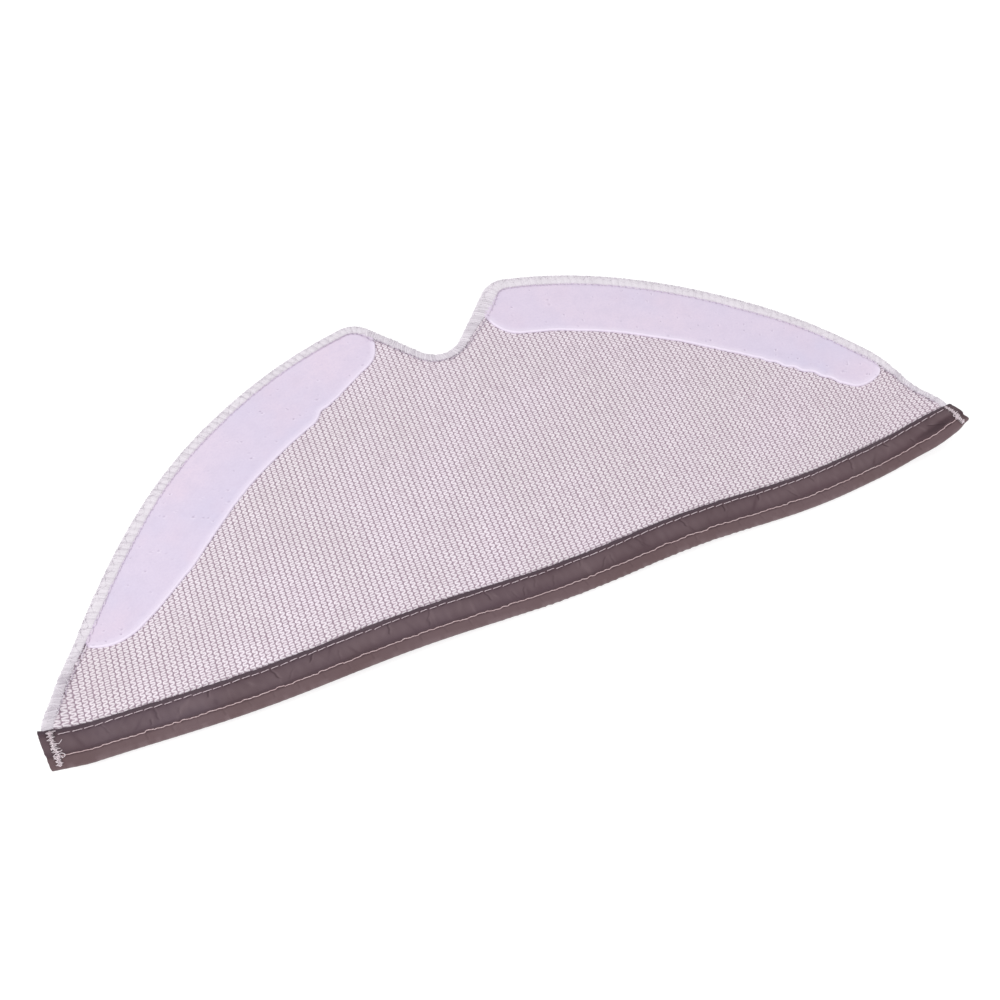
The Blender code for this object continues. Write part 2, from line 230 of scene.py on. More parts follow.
# ---- how the cloth lies: shallow waves, one raised tip, a slightly bowed straight edge --------
# waves of the straight edge: half turns over the cloth's length, height
BOW_WAVES = ((2, 0.98), (3, -0.2), (4, 0.64), (5, -0.14), (6, 0.74), (7, -0.19))


def twist(x):
    """Roll of the binding about its lip towards the right end, in radians."""
    return math.radians(27.0) * smooth(108.0, 147.0, x) ** 1.3


def drape(x, y):
    """Height of the lying cloth over the flat pattern."""
    x, y = np.asarray(x, float), np.asarray(y, float)
    across, up = x / 145.0, (y - 47.0) / 57.0
    height = (0.95 * across * across - 3.41 * up * up - 0.58 * across * up
              - 2.48 * across * across * up)
    # the left tip curls up, the right end rises a little
    height = height + 6.6 * np.clip((-132.73 - x) / 12.27, 0, None) ** 2 * (1 + 0.0577 * y)
    height = height + 2.65 * np.clip((x - 94.5) / 50.5, 0, None) ** 2 * (1 - 0.002 * y)
    # waves beside the straight edge, which fade towards the notch
    near = np.exp(-np.clip(y, 0, None) / 28.0)
    height = height + near * (3.47 * bell(x, -46.6, 62.3) + 2.3 * bell(x, 46.1, 27.7)
                              - 2.13 * bell(x, 122.8, 11.9))
    # waves of the round edge, which fade inwards
    radius, degrees = rim_polar(x, y)
    rim = np.exp(-np.clip(RIM_R - radius, 0, None) / 25.0) * (1 - near)
    height = height - np.minimum(y, 0) * np.sin(twist(x))
    return height + rim * (-4.09 * bell(degrees, -55.8, 13.3) + 4.22 * bell(degrees, 3.3, 24.3)
                           - 9.26 * bell(degrees, 68.9, 4.0))


def bow(x, y):
    """In-plane ease of the lying cloth: the ends draw in and the straight edge bows."""
    x, y = np.asarray(x, float), np.asarray(y, float)
    # the flange spreads a little where the roll begins
    spread = (1 + 0.10 * bell(x, 134.5, 7.0) - 0.10 * smooth(140.0, 145.0, x)
              - 0.05 * smooth(-136.0, -144.0, x))
    y = np.where(y < 0, y * np.cos(twist(x)) * spread, y)
    across = x / 145.0
    turn = math.pi * (x + 145.0) / 290.0
    dx = (-0.5 * smooth(140.0, 145.0, x) + 0.44 * across ** 2 - 2.28 * across ** 3
          + 0.28 * across ** 4 - 1.15 * smooth(-136.0, -144.0, x) * smooth(9.0, 0.0, y))
    dy = (sum(height * np.cos(turns * turn) for turns, height in BOW_WAVES)
          * np.exp(-np.clip(y, 0, None) / 70.0))
    return x + dx, y + dy


def place(x, y, z):
    """Pattern coordinates and layer height to the frame, in metres."""
    bowed_x, bowed_y = bow(x, y)
    return np.c_[np.ravel(bowed_x), np.ravel(bowed_y) + LIP_Y, np.ravel(z + drape(x, y))] * MM


# ---- mesh helpers ---------------------------------------------------------------------------
def mesh_object(name, vertices, faces, material, attributes):
    """faces: integer arrays of shape (count, corners)."""
    mesh = bpy.data.meshes.new(name)
    loops = np.concatenate([block.ravel() for block in faces]).astype(np.int32)
    sizes = np.concatenate([np.full(len(block), block.shape[1]) for block in faces])
    mesh.vertices.add(len(vertices))
    mesh.vertices.foreach_set("co", np.asarray(vertices, np.float32).ravel())
    mesh.loops.add(len(loops))
    mesh.loops.foreach_set("vertex_index", loops)
    mesh.polygons.add(len(sizes))
    mesh.polygons.foreach_set("loop_start", (np.cumsum(sizes) - sizes).astype(np.int32))
    mesh.update(calc_edges=True)
    mesh.validate()
    mesh.polygons.foreach_set("use_smooth", np.ones(len(mesh.polygons), bool))
    for key, values in attributes.items():
        attribute = mesh.attributes.new(key, "FLOAT", "POINT")
        attribute.data.foreach_set("value", np.asarray(values, np.float32))
    mesh.materials.append(material)
    ob = bpy.data.objects.new(name, mesh)
    bpy.context.scene.collection.objects.link(ob)
    return ob


def face_outwards(ob):
    shape = bmesh.new()
    shape.from_mesh(ob.data)
    bmesh.ops.recalc_face_normals(shape, faces=shape.faces)
    shape.to_mesh(ob.data)
    shape.free()
    ob.data.polygons.foreach_set("use_smooth", np.ones(len(ob.data.polygons), bool))


def ring_quads(count, size):
    """Quads between consecutive closed rings of size points."""
    i = np.arange(count - 1)[:, None] * size
    j = np.arange(size)[None]
    after = (j + 1) % size
    return np.stack([i + j, i + after, i + size + after, i + size + j], -1).reshape(-1, 4)


class Shells:
    """Collects swept shells and threads for one piece."""

    def __init__(self):
        self.vertices, self.faces, self.count, self.tones = [], {}, 0, []

    def add(self, vertices, faces, tone):
        for block in faces:
            self.faces.setdefault(block.shape[1], []).append(block + self.count)
        self.vertices.append(vertices)
        self.tones.append(np.broadcast_to(np.asarray(tone, float), (len(vertices),)))
        self.count += len(vertices)

    def tube(self, points, radius, sides=6, tone=0.0):
        """A thread through points given in metres; radius in mm, one tone or one per point."""
        count = len(points)
        along = np.gradient(points, axis=0)
        along /= np.linalg.norm(along, axis=1, keepdims=True) + 1e-12
        side = np.cross(along, np.array([0, 0, 1.0]))
        width = np.linalg.norm(side, axis=1, keepdims=True)
        side = np.where(width > 0.05, side / np.maximum(width, 1e-9), np.array([1.0, 0, 0]))
        for i in range(1, count):         # keeps the section from flipping over
            if side[i] @ side[i - 1] < 0:
                side[i] = -side[i]
        up = np.cross(side, along)
        radius = radius * MM
        angles = (np.arange(sides) * 2 * math.pi / sides)[None, :, None]
        rings = (points[:, None] + side[:, None] * (np.cos(angles) * radius)
                 + up[:, None] * (np.sin(angles) * radius))
        first = count * sides             # the two end points follow the rings
        vertices = np.vstack([rings.reshape(-1, 3), points[0] - along[0] * radius * 0.5,
                              points[-1] + along[-1] * radius * 0.5])
        j = np.arange(sides)
        after = (j + 1) % sides
        last_ring = (count - 1) * sides
        caps = [np.c_[j, after, np.full(sides, first)],
                np.c_[last_ring + after, last_ring + j, np.full(sides, first + 1)]]
        tone = np.broadcast_to(tone, (count,))
        self.add(vertices, [ring_quads(count, sides)[:, ::-1], *caps],
                 np.concatenate([np.repeat(tone, sides), tone[[0, -1]]]))

    def sweep(self, rings, tone=0.0):
        """rings: (count, size, 3) in metres, each ring a closed loop; flat ends."""
        count, size, _ = rings.shape
        self.add(rings.reshape(-1, 3),
                 [ring_quads(count, size), np.arange(size)[::-1][None],
                  ((count - 1) * size + np.arange(size))[None]], tone)

    def object(self, name, material, attributes=None, outwards=True):
        """The collected piece, with its tone unless other attributes are given."""
        ob = mesh_object(name, np.vstack(self.vertices),
                         [np.vstack(blocks) for blocks in self.faces.values()], material,
                         attributes or {"tone": np.concatenate(self.tones)})
        if outwards:
            face_outwards(ob)
        return ob


def number_nodes(cells, first):
    """Numbers the grid nodes of the chosen cells: their ids on the grid and grid places."""
    nx, ny = cells.shape
    used = np.zeros((nx + 1, ny + 1), bool)
    for i in (0, 1):
        for j in (0, 1):
            used[i:nx + i, j:ny + j] |= cells
    ids = np.full(used.shape, -1)
    ids[used] = first + np.arange(used.sum())
    return ids, np.nonzero(used)


def shell_grid(name, origin, step, split, cells, inside, fine_z, coarse_z, material, yarn,
               fine_up=True):
    """A closed sheet on a grid of coarse cells, each split in both directions on its detailed
    side. The other side is one face per cell, and a wall joins the two along the boundary."""
    (x0, y0), (step_x, step_y), (nx, ny) = origin, step, cells
    cell_x = x0 + (np.arange(nx) + 0.5) * step_x * split
    cell_y = y0 + (np.arange(ny) + 0.5) * step_y * split
    chosen = inside(*np.meshgrid(cell_x, cell_y, indexing="ij"))
    chosen_fine = np.repeat(np.repeat(chosen, split, 0), split, 1)

    fine, (i, j) = number_nodes(chosen_fine, 0)
    fine_x, fine_y = x0 + i * step_x, y0 + j * step_y
    coarse, (i, j) = number_nodes(chosen, len(fine_x))
    coarse_x, coarse_y = x0 + i * step_x * split, y0 + j * step_y * split
    i, j = np.nonzero(chosen_fine)
    detailed = np.c_[fine[i, j], fine[i + 1, j], fine[i + 1, j + 1], fine[i, j + 1]]
    i, j = np.nonzero(chosen)
    plain = np.c_[coarse[i, j], coarse[i, j + 1], coarse[i + 1, j + 1], coarse[i + 1, j]]

    walls_x, walls_y = [], []
    padded = np.pad(chosen, 1)
    for di, dj in ((1, 0), (-1, 0), (0, 1), (0, -1)):
        edge = chosen & ~padded[1 + di:1 + di + nx, 1 + dj:1 + dj + ny]
        for i, j in zip(*np.nonzero(edge)):
            if di:
                column = i + (di > 0)
                wall = [*fine[column * split, j * split:(j + 1) * split + 1],
                        coarse[column, j + 1], coarse[column, j]]
                walls_y.append(wall if di < 0 else wall[::-1])
            else:
                row = j + (dj > 0)
                wall = [*fine[i * split:(i + 1) * split + 1, row * split],
                        coarse[i + 1, row], coarse[i, row]]
                walls_x.append(wall[::-1] if dj < 0 else wall)
    faces = [detailed, plain, np.array(walls_x), np.array(walls_y)]
    if not fine_up:
        faces = [block[:, ::-1] for block in faces]
    vertices = np.vstack([place(fine_x, fine_y, fine_z(fine_x, fine_y)),
                          place(coarse_x, coarse_y, coarse_z(coarse_x, coarse_y))])
    shade = np.concatenate([yarn(fine_x, fine_y), np.full(len(coarse_x), 0.5)])
    return mesh_object(name, vertices, faces, material, {"yarn": shade})


# ---- materials ------------------------------------------------------------------------------
class Look:
    """A small node builder for cloth-like finishes."""

    def __init__(self, name, rough, sheen=0.0, spec=0.3):
        self.material = bpy.data.materials.new(name)
        self.material.use_nodes = True
        self.tree = self.material.node_tree
        self.shader = self.tree.nodes["Principled BSDF"]
        for key, value in (("Roughness", rough), ("Specular IOR Level", spec),
                           ("Sheen Weight", sheen), ("Sheen Roughness", 0.5)):
            self.shader.inputs[key].default_value = value
        self.place = self.node("ShaderNodeTexCoord").outputs["Object"]
        self.normal = None

    def node(self, kind, inputs=None, **settings):
        node = self.tree.nodes.new(kind)
        for key, value in settings.items():
            setattr(node, key, value)
        for key, value in (inputs or {}).items():
            node.inputs[key].default_value = value
        return node

    def link(self, output, target):
        self.tree.links.new(output, target)

    def mapped(self, **inputs):
        mapping = self.node("ShaderNodeMapping", inputs)
        self.link(self.place, mapping.inputs["Vector"])
        return mapping.outputs["Vector"]

    def noise(self, scale, detail=2.0, rough=0.5, stretch=None):
        node = self.node("ShaderNodeTexNoise",
                         {"Scale": scale, "Detail": detail, "Roughness": rough})
        self.link(self.mapped(Scale=stretch) if stretch else self.place, node.inputs["Vector"])
        return node.outputs["Fac"]

    def bands(self, place, **inputs):
        node = self.node("ShaderNodeTexWave", inputs, wave_type="BANDS", bands_direction="X")
        self.link(place, node.inputs["Vector"])
        return node.outputs["Fac"]

    def attribute(self, name):
        return self.node("ShaderNodeAttribute", attribute_name=name).outputs["Fac"]

    def mix(self, share, first, second):
        """Colours are linear triples or sockets."""
        node = self.node("ShaderNodeMix", data_type="RGBA")
        for index, value in ((0, share), (6, first), (7, second)):
            if isinstance(value, tuple):
                node.inputs[index].default_value = (*value, 1.0)
            else:
                self.link(value, node.inputs[index])
        return node.outputs[2]

    def multiply(self, value, factor, clamp=False):
        node = self.node("ShaderNodeMath", operation="MULTIPLY", use_clamp=clamp)
        self.link(value, node.inputs[0])
        if isinstance(factor, float):
            node.inputs[1].default_value = factor
        else:
            self.link(factor, node.inputs[1])
        return node.outputs[0]

    def across(self, start, end):
        """0 to 1 along x, between two places in metres."""
        axes = self.node("ShaderNodeSeparateXYZ")
        self.link(self.place, axes.inputs[0])
        return self.span(axes.outputs[0], start, end)

    def span(self, value, start, end, least=0.0, most=1.0):
        """Maps start..end to least..most."""
        node = self.node("ShaderNodeMapRange", {"From Min": start, "From Max": end,
                                                "To Min": least, "To Max": most})
        self.link(value, node.inputs["Value"])
        return node.outputs["Result"]

    def tint(self, base, colour, value, start, end, least=0.0, most=1.0):
        """Mixes colour into base as value runs from start to end."""
        return self.mix(self.span(value, start, end, least, most), base, colour)

    def colour(self, colour):
        self.link(colour, self.shader.inputs["Base Color"])

    def rough(self, value, start, end, least, most):
        self.link(self.span(value, start, end, least, most), self.shader.inputs["Roughness"])

    def bump(self, height, strength, depth):
        """Adds a bump layer over the earlier ones; depth in mm."""
        node = self.node("ShaderNodeBump", {"Strength": strength, "Distance": depth * MM})
        self.link(height, node.inputs["Height"])
        if self.normal is not None:
            self.link(self.normal, node.inputs["Normal"])
        self.normal = node.outputs["Normal"]
        self.link(self.normal, self.shader.inputs["Normal"])


def srgb(*levels):
    return tuple(((v / 255.0 + 0.055) / 1.055) ** 2.4 if v > 10 else v / 255.0 / 12.92
                 for v in levels)


def knit_material():
    """Off-white yarn, a little pinker and brighter to the left, greyer to the right, with painted
    shade in the gaps between the loops.
    """
    look = Look("knit_yarn_look", rough=0.88, sheen=0.15, spec=0.25)
    yarn = look.attribute("yarn")
    side = look.across(start=-0.14, end=0.13)
    cloud = look.noise(scale=38.0, detail=3.0)
    light = look.mix(side, srgb(255, 247, 255), srgb(247, 236, 245))
    light = look.tint(light, srgb(246, 238, 243), cloud, start=0.35, end=0.65)
    fleck = look.noise(scale=620.0)
    light = look.tint(light, srgb(230, 215, 225), fleck, start=0.4, end=0.75, most=0.4)
    # painted shade: the gaps between the loops, where the yarn stands low, take this darker colour
    dark = look.mix(look.noise(scale=240.0), srgb(178, 157, 171), srgb(160, 139, 153))
    look.colour(look.tint(dark, light, yarn, start=0.12, end=0.74))
    look.rough(fleck, start=0.0, end=1.0, least=0.8, most=0.96)
    fibre = look.noise(scale=5200.0, stretch=(1.0, 0.35, 1.0))
    look.bump(fleck, strength=0.3, depth=0.12)
    look.bump(fibre, strength=0.35, depth=0.05)
    return look.material


def strip_material():
    """Lilac loop tape with painted shade in its pits and the needle's holes, a paler rim along its
    free edges and painted highlights beside some pits.
    """
    look = Look("loop_tape_look", rough=0.82, sheen=0.35, spec=0.2)
    broad = look.noise(scale=30.0, detail=3.0)
    shade = look.tint(srgb(232, 217, 235), srgb(222, 213, 235), broad, start=0.35, end=0.65)
    pink = look.noise(scale=75.0)
    shade = look.tint(shade, srgb(232, 213, 230), pink, start=0.5, end=0.75, most=0.5)
    cloud = look.noise(scale=240.0, detail=3.0, rough=0.6)
    shade = look.tint(shade, srgb(219, 207, 227), cloud, start=0.45, end=0.75, most=0.45)
    fine = look.noise(scale=1500.0, detail=3.0)
    shade = look.tint(shade, srgb(214, 202, 226), fine, start=0.4, end=0.75, most=0.35)
    # painted shade in the pits and the needle's holes
    shade = look.mix(look.attribute("pit"), shade, srgb(166, 149, 175))
    # a paler rim along the free edges, together with the painted highlights beside the pits
    shade = look.mix(look.attribute("rim"), shade, srgb(248, 238, 254))
    look.colour(shade)
    look.rough(fine, start=0.0, end=1.0, least=0.72, most=0.92)
    loops = look.noise(scale=2600.0, detail=3.0, rough=0.7)
    look.bump(loops, strength=0.35, depth=0.1)
    look.bump(fine, strength=0.3, depth=0.12)
    return look.material


def overlock_material(name, light, dark):
    look = Look(name, rough=0.75, sheen=0.25, spec=0.3)
    tone = look.attribute("tone")
    cloud = look.noise(scale=160.0)
    slightly_dim, dim = (tuple(v * level for v in light) for level in (0.93, 0.72))
    shade = look.tint(light, slightly_dim, cloud, start=0.3, end=0.7)
    # the tone attribute mixes in the dark colour: tone that differs from strand to strand and over
    # bare knit, and painted shade in the stitch dips, the needle's holes and along the outer edge
    shade = look.mix(look.multiply(tone, 1.0, clamp=True), shade, dark)
    fine = look.noise(scale=3200.0)
    look.colour(look.tint(shade, dim, fine, start=0.45, end=0.8, most=0.4))
    look.rough(fine, start=0.0, end=1.0, least=0.6, most=0.85)
    look.bump(fine, strength=0.4, depth=0.06)
    return look.material


def thread_material(name, light, dark):
    look = Look(name, rough=0.55, sheen=0.2, spec=0.4)
    fine = look.noise(scale=2600.0, stretch=(1.0, 0.4, 1.0))
    shade = look.tint(light, dark, fine, start=0.3, end=0.75)
    cloud = look.noise(scale=210.0, detail=1.0)
    look.colour(look.tint(shade, dark, cloud, start=0.4, end=0.8, most=0.4))
    look.rough(fine, start=0.0, end=1.0, least=0.45, most=0.7)
    look.bump(fine, strength=0.6, depth=0.06)
    return look.material


def tape_material():
    """Brown-mauve twill binding: fine diagonal weave, painted highlights on its raised puckers,
    crease ridges and crowned channel, faint wear along the fold, and painted shade in its seam
    grooves and creases.
    """
    look = Look("binding_tape_look", rough=0.58, sheen=0.2, spec=0.28)
    broad = look.noise(scale=45.0, detail=3.0)
    side = look.across(start=-0.14, end=0.14)
    channel = look.mix(side, srgb(92, 74, 84), srgb(86, 61, 68))
    channel = look.tint(channel, srgb(84, 62, 68), broad, start=0.35, end=0.7)
    flange = look.tint(srgb(116, 94, 98), srgb(108, 85, 87), broad, start=0.3, end=0.7)
    region = look.attribute("region")            # 0 lip, 0.5 channel, 1 flange
    shade = look.tint(channel, flange, region, start=0.5, end=1.0)
    shade = look.tint(shade, srgb(76, 60, 70), region, start=0.45, end=0.0)
    # painted highlight where the surface stands high, on puckers, crease ridges and the channel's
    # crown, and faint wear along the fold
    wear_and_highlight = look.multiply(look.attribute("wear_and_highlight"), 0.45, clamp=True)
    shade = look.mix(wear_and_highlight, shade, srgb(142, 122, 126))
    # painted shade in the seam grooves, the creases and the hollow and fold near the right end,
    # and a darker right tip
    groove = look.multiply(look.attribute("groove"), 0.85, clamp=True)
    shade = look.mix(groove, shade, srgb(60, 39, 46))
    # twill: two crossed wave bands
    diagonal = look.mapped(Rotation=(0.0, 0.0, math.radians(45)))
    twill = look.bands(diagonal, Scale=900.0, Distortion=1.2, Detail=1.0)
    ribs = look.bands(look.place, Scale=1300.0)
    weave = look.multiply(twill, ribs)
    look.colour(look.tint(shade, srgb(78, 62, 68), weave, start=0.0, end=1.0, least=0.25,
                          most=0.0))
    look.rough(look.noise(scale=900.0), start=0.2, end=0.8, least=0.46, most=0.68)
    uneven = look.noise(scale=420.0, detail=3.0)
    look.bump(weave, strength=0.25, depth=0.05)
    look.bump(uneven, strength=0.35, depth=0.12)
    return look.material


def pile_material():
    look = Look("microfibre_pile_look", rough=0.95, sheen=0.4, spec=0.15)
    tuft = look.attribute("yarn")
    light = look.mix(look.noise(scale=60.0), srgb(238, 232, 238), srgb(226, 218, 228))
    fine = look.noise(scale=2200.0, detail=3.0, rough=0.7)
    light = look.tint(light, srgb(205, 196, 208), fine, start=0.35, end=0.75, most=0.5)
    # painted shade: the hollows between the tufts take the darker colour
    look.colour(look.tint(srgb(170, 158, 172), light, tuft, start=0.0, end=0.8))
    look.rough(fine, start=0.0, end=1.0, least=0.85, most=1.0)
    clumps = look.noise(scale=700.0)
    look.bump(fine, strength=0.6, depth=0.2)
    look.bump(clumps, strength=0.5, depth=0.3)
    return look.material


def plastic_material():
    look = Look("stiffener_plastic_look", rough=0.35, spec=0.5)
    streaks = look.noise(scale=500.0, stretch=(0.05, 1.0, 1.0))
    look.colour(look.mix(streaks, srgb(226, 230, 234), srgb(206, 212, 220)))
    look.rough(streaks, start=0.2, end=0.8, least=0.28, most=0.5)
    look.bump(streaks, strength=0.2, depth=0.05)
    return look.material


KNIT = knit_material()
STRIP = strip_material()
LOOPER_THREAD = overlock_material("overlock_thread_look", light=srgb(241, 235, 242),
                                  dark=srgb(186, 177, 188))
NEEDLE_THREAD = overlock_material("overlock_needle_look", light=srgb(234, 223, 236),
                                  dark=srgb(152, 134, 156))
WHITE = thread_material("white_thread_look", light=srgb(246, 236, 240),
                        dark=srgb(214, 196, 204))
INNER_SEAM_THREAD = thread_material("inner_seam_thread_look", light=srgb(232, 217, 223),
                                    dark=srgb(178, 156, 166))
CREAM = thread_material("cream_thread_look", light=srgb(227, 206, 208),
                        dark=srgb(184, 152, 156))
TAPE = tape_material()
PILE = pile_material()
PLASTIC = plastic_material()


def on_cloth(ob, node):
    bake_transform(ob)
    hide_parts(node)


def on_binding(ob, node):
    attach(ob, "binding")
    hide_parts(node)


# ---- knitted ground -------------------------------------------------------------------------
WALE, ROW = 1.74, 1.45
# faces per half stitch
KNIT_SPLIT = 4
# One row of a wale: a stroke across, a turn on the right, a stroke back, a turn on the left.
# start, end, yarn radius at both, height
LOOP = [((-0.60, 0.13), (0.59, -0.11), 0.205, 0.26, 0.31),
        ((0.58, -0.11), (0.71, -0.34), 0.15, 0.15, 0.09),
        ((0.71, -0.34), (0.58, -0.57), 0.15, 0.15, 0.07),
        ((0.60, -0.58), (-0.59, -0.87), 0.205, 0.25, 0.29),
        ((-0.58, -0.87), (-0.71, -1.09), 0.15, 0.15, 0.07),
        ((-0.71, -1.09), (-0.58, -1.32), 0.15, 0.15, 0.09)]
STROKES = (0, 3)                        # the rows of LOOP that cross the wale


def strip_cover(x, y):
    """1 well under a loop strip, 0 outside it."""
    radius, degrees = rim_polar(np.abs(x), y)
    cover = np.zeros_like(x)
    for sign in (-1, 1):
        inner = strip_inner(sign, degrees)
        slope = ((strip_inner(sign, degrees + 0.2) - strip_inner(sign, degrees - 0.2))
                 / (math.radians(0.4) * 135.0))
        depth = (radius - inner) / np.sqrt(1 + slope ** 2)
        within = ((degrees > STRIPS[sign]["near"][1] + 0.1)
                  & (degrees < STRIPS[sign]["far"][1] - 0.1) & (np.sign(x) == sign))
        cover = np.where(within, smooth(0.1, 1.1, depth), cover)
    return cover


def stroke(x, y, start, end, radii):
    """Round section, 1 at its crest, of a yarn running from start to end."""
    (start_x, start_y), (end_x, end_y) = start, end
    run_x, run_y = end_x - start_x, end_y - start_y
    t = np.clip(((x - start_x) * run_x + (y - start_y) * run_y)
                / (run_x * run_x + run_y * run_y), 0, 1)
    square = (x - start_x - t * run_x) ** 2 + (y - start_y - t * run_y) ** 2
    radius = radii[0] + (radii[1] - radii[0]) * t
    return np.sqrt(np.clip(1 - square / (radius * radius), 0, None))


def knit_relief(x, y):
    """Stacked loops: the yarn of each wale runs back and forth across it, twice in a row.
    Returns the height and each stitch's slack."""
    wale = np.floor(x / WALE + 0.5)
    lean = 0.10 * noise(wale * 0.73, y / 9.0, 3)
    across = (x / WALE - wale + lean * 0.35) * WALE
    rows = y / ROW + 0.10 * noise(wale * 1.31, y / 6.0, 5) + 0.03 * wale
    row = np.floor(rows)
    up = (rows - row) * ROW
    height = np.zeros_like(x)
    # a stitch reaches into the row before and the row after its own
    for shift, parts in ((0, (0,)), (1, range(6)), (2, (5,))):
        slack = noise(wale * 3.7, (row + shift) * 5.3, 7)
        side = noise(wale * 2.9, (row + shift) * 4.1, 8)
        for part in parts:
            (start_x, start_y), (end_x, end_y), start_r, end_r, top = LOOP[part]
            tip = 0.09 * slack if part in STROKES else 0.0
            lift = 0.05 * (slack if part < 3 else side) if part in STROKES else 0.0
            section = stroke(across - 0.09 * side, up, (start_x, start_y + shift * ROW + tip),
                             (end_x, end_y + shift * ROW - tip),
                             (start_r * (1 + 0.12 * side), end_r * (1 + 0.08 * slack)))
            height = np.maximum(height, section * (top + lift))
    ground = 0.07 * smooth(0.76, 0.46, np.abs(across))
    return np.maximum(height, ground), noise(wale * 3.7, row * 5.3, 7)


def knit_inside(x, y):
    return (inset(x, y) > 1.3) & (y > -1.2) & (np.abs(x) < HALF - 2.2)


def knit_top(x, y):
    height = knit_relief(x, y)[0]
    depth = inset(x, y)
    # flat under the overlock and the strips, sunk where it runs into the binding
    keep = (smooth(2.3, 3.3, depth + 0.8 * smooth(127.0, 134.0, np.abs(x)))
            * (1 - 0.95 * strip_cover(x, y)))
    tuck = smooth(1.1, -0.3, y)
    z = KNIT_TOP - 0.08 + (height - 0.05) * keep * (1 - 0.6 * tuck)
    z -= 0.5 * tuck
    z -= 0.25 * smooth(2.6, 1.4, depth)
    return z + 0.05 * noise_over(x, y, 3.0, 9)


# the yarn's height from 0 to 1; the knit's look paints shade where it is low, in the gaps between
# the loops
def knit_yarn_and_gap_shade(x, y):
    height, slack = knit_relief(x, y)
    return np.clip(height / 0.26, 0, 1) * (0.95 + 0.05 * slack)


def knit_piece():
    cells_x = 2 * int(math.ceil((HALF - 1.5) / (WALE / 2))) + 2
    knit = shell_grid("knit_backing_cloth", origin=(-cells_x / 2 * (WALE / 2), -ROW),
                      step=(WALE / 2 / KNIT_SPLIT, ROW / 2 / KNIT_SPLIT), split=KNIT_SPLIT,
                      cells=(cells_x, int(107 / (ROW / 2)) + 4), inside=knit_inside,
                      fine_z=knit_top, coarse_z=lambda x, y: np.full_like(x, 2.35),
                      material=KNIT, yarn=knit_yarn_and_gap_shade)
    on_cloth(knit, "knit_backing")


knit_piece()


# ---- microfibre pile on the floor side ------------------------------------------------------
TUFT = 1.5                              # tuft spacing


def pile_relief(x, y):
    """Round tufts in staggered, slightly uneven columns."""
    i = np.floor(x / TUFT)
    j = np.floor(y / TUFT + 0.5 * (i % 2))
    centre_x = (i + 0.5 + 0.28 * noise(i * 7.1, j * 3.3, 2)) * TUFT
    centre_y = (j + 0.5 - 0.5 * (i % 2) + 0.28 * noise(i * 2.7, j * 9.1, 4)) * TUFT
    distance = np.hypot(x - centre_x, y - centre_y) / 0.85
    return (np.sqrt(np.clip(1 - distance * distance, 0, None))
            * (0.85 + 0.3 * noise(i * 5.0, j * 5.0, 6)))


def pile_low(x, y):
    z = 0.62 - 0.6 * pile_relief(x, y) + 0.12 * noise_over(x, y, 7, 8)
    return np.clip(z + 0.9 * smooth(3.4, 1.6, inset(x, y)) + 0.7 * smooth(3.2, 1.6, y),
                   -0.05, 1.9)


def pile_top(x, y):
    return 2.15 - 0.9 * smooth(3.6, 2.6, inset(x, y))


PILE_START = 1.3                        # clear of the binding's lip
pile = shell_grid("microfibre_pile_cloth", origin=(-146.0, PILE_START), step=(0.5, 0.5),
                  split=3, cells=(195, 70),
                  inside=lambda x, y: (inset(x, y) > 1.9) & (y > PILE_START),
                  fine_z=pile_low, coarse_z=pile_top, material=PILE,
                  yarn=lambda x, y: np.clip(pile_relief(x, y), 0, 1), fine_up=False)
on_cloth(pile, "microfibre_pile")


# ---- loop strips ----------------------------------------------------------------------------
def strip_outline(sign, seed):
    """Angles from +y in radians with the strip's inner and outer radius at each."""
    near_start, near_end, _ = STRIPS[sign]["near"]
    far_start, far_end, _ = STRIPS[sign]["far"]
    # angles are dense at both ends, where the edge turns across the strip
    near_turn = np.linspace(0, math.pi / 2, 40)[:-1][::-1]
    far_turn = np.linspace(0, math.pi / 2, 70)[:-1]
    middle = int((far_start - near_start) * math.radians(1) * STRIP_MID_R / 0.36)
    degrees = np.concatenate([near_start + (near_end - near_start) * np.sin(near_turn),
                              np.linspace(near_start, far_start, middle)[1:-1],
                              far_start + (far_end - far_start) * np.sin(far_turn)])
    angle = np.radians(degrees)
    along = angle * STRIP_MID_R
    inner = strip_inner(sign, degrees)
    # wobble of the heat-cut inner edge
    inner = inner + 0.22 * noise_along(along, 6.0, seed) + 0.08 * noise_along(along, 1.3, seed + 1)
    if sign < 0:        # a small nick in the left strip's inner edge
        inner = inner + 0.8 * bell(degrees, 20.4, 0.8) - 0.4 * bell(degrees, 22.2, 1.0)
    else:               # the right strip's far end is scalloped
        inner = inner + (0.30 * np.sin(along * 1.0) * smooth(46, 52, degrees)
                         * smooth(62.0, 59.0, degrees))
    # the outer edge runs under the overlock
    _, points, _ = edge_path(2.5, 0.0, 0.25)
    points = points[points[:, 0] >= 0]
    edge_angle = np.arctan2(points[:, 0], points[:, 1] - RIM_Y)
    edge_radius = np.hypot(points[:, 0], points[:, 1] - RIM_Y)
    order = np.argsort(edge_angle)
    outer = np.interp(angle, edge_angle[order], edge_radius[order])
    # the outer corner of the far end is cut round
    t = np.clip((degrees - far_end + 1.5) / 1.5, 0, 1)
    outer = outer - 3.4 * (1 - np.sqrt(1 - t * t))
    wide = outer - inner > 0.5
    return angle[wide], inner[wide], outer[wide]


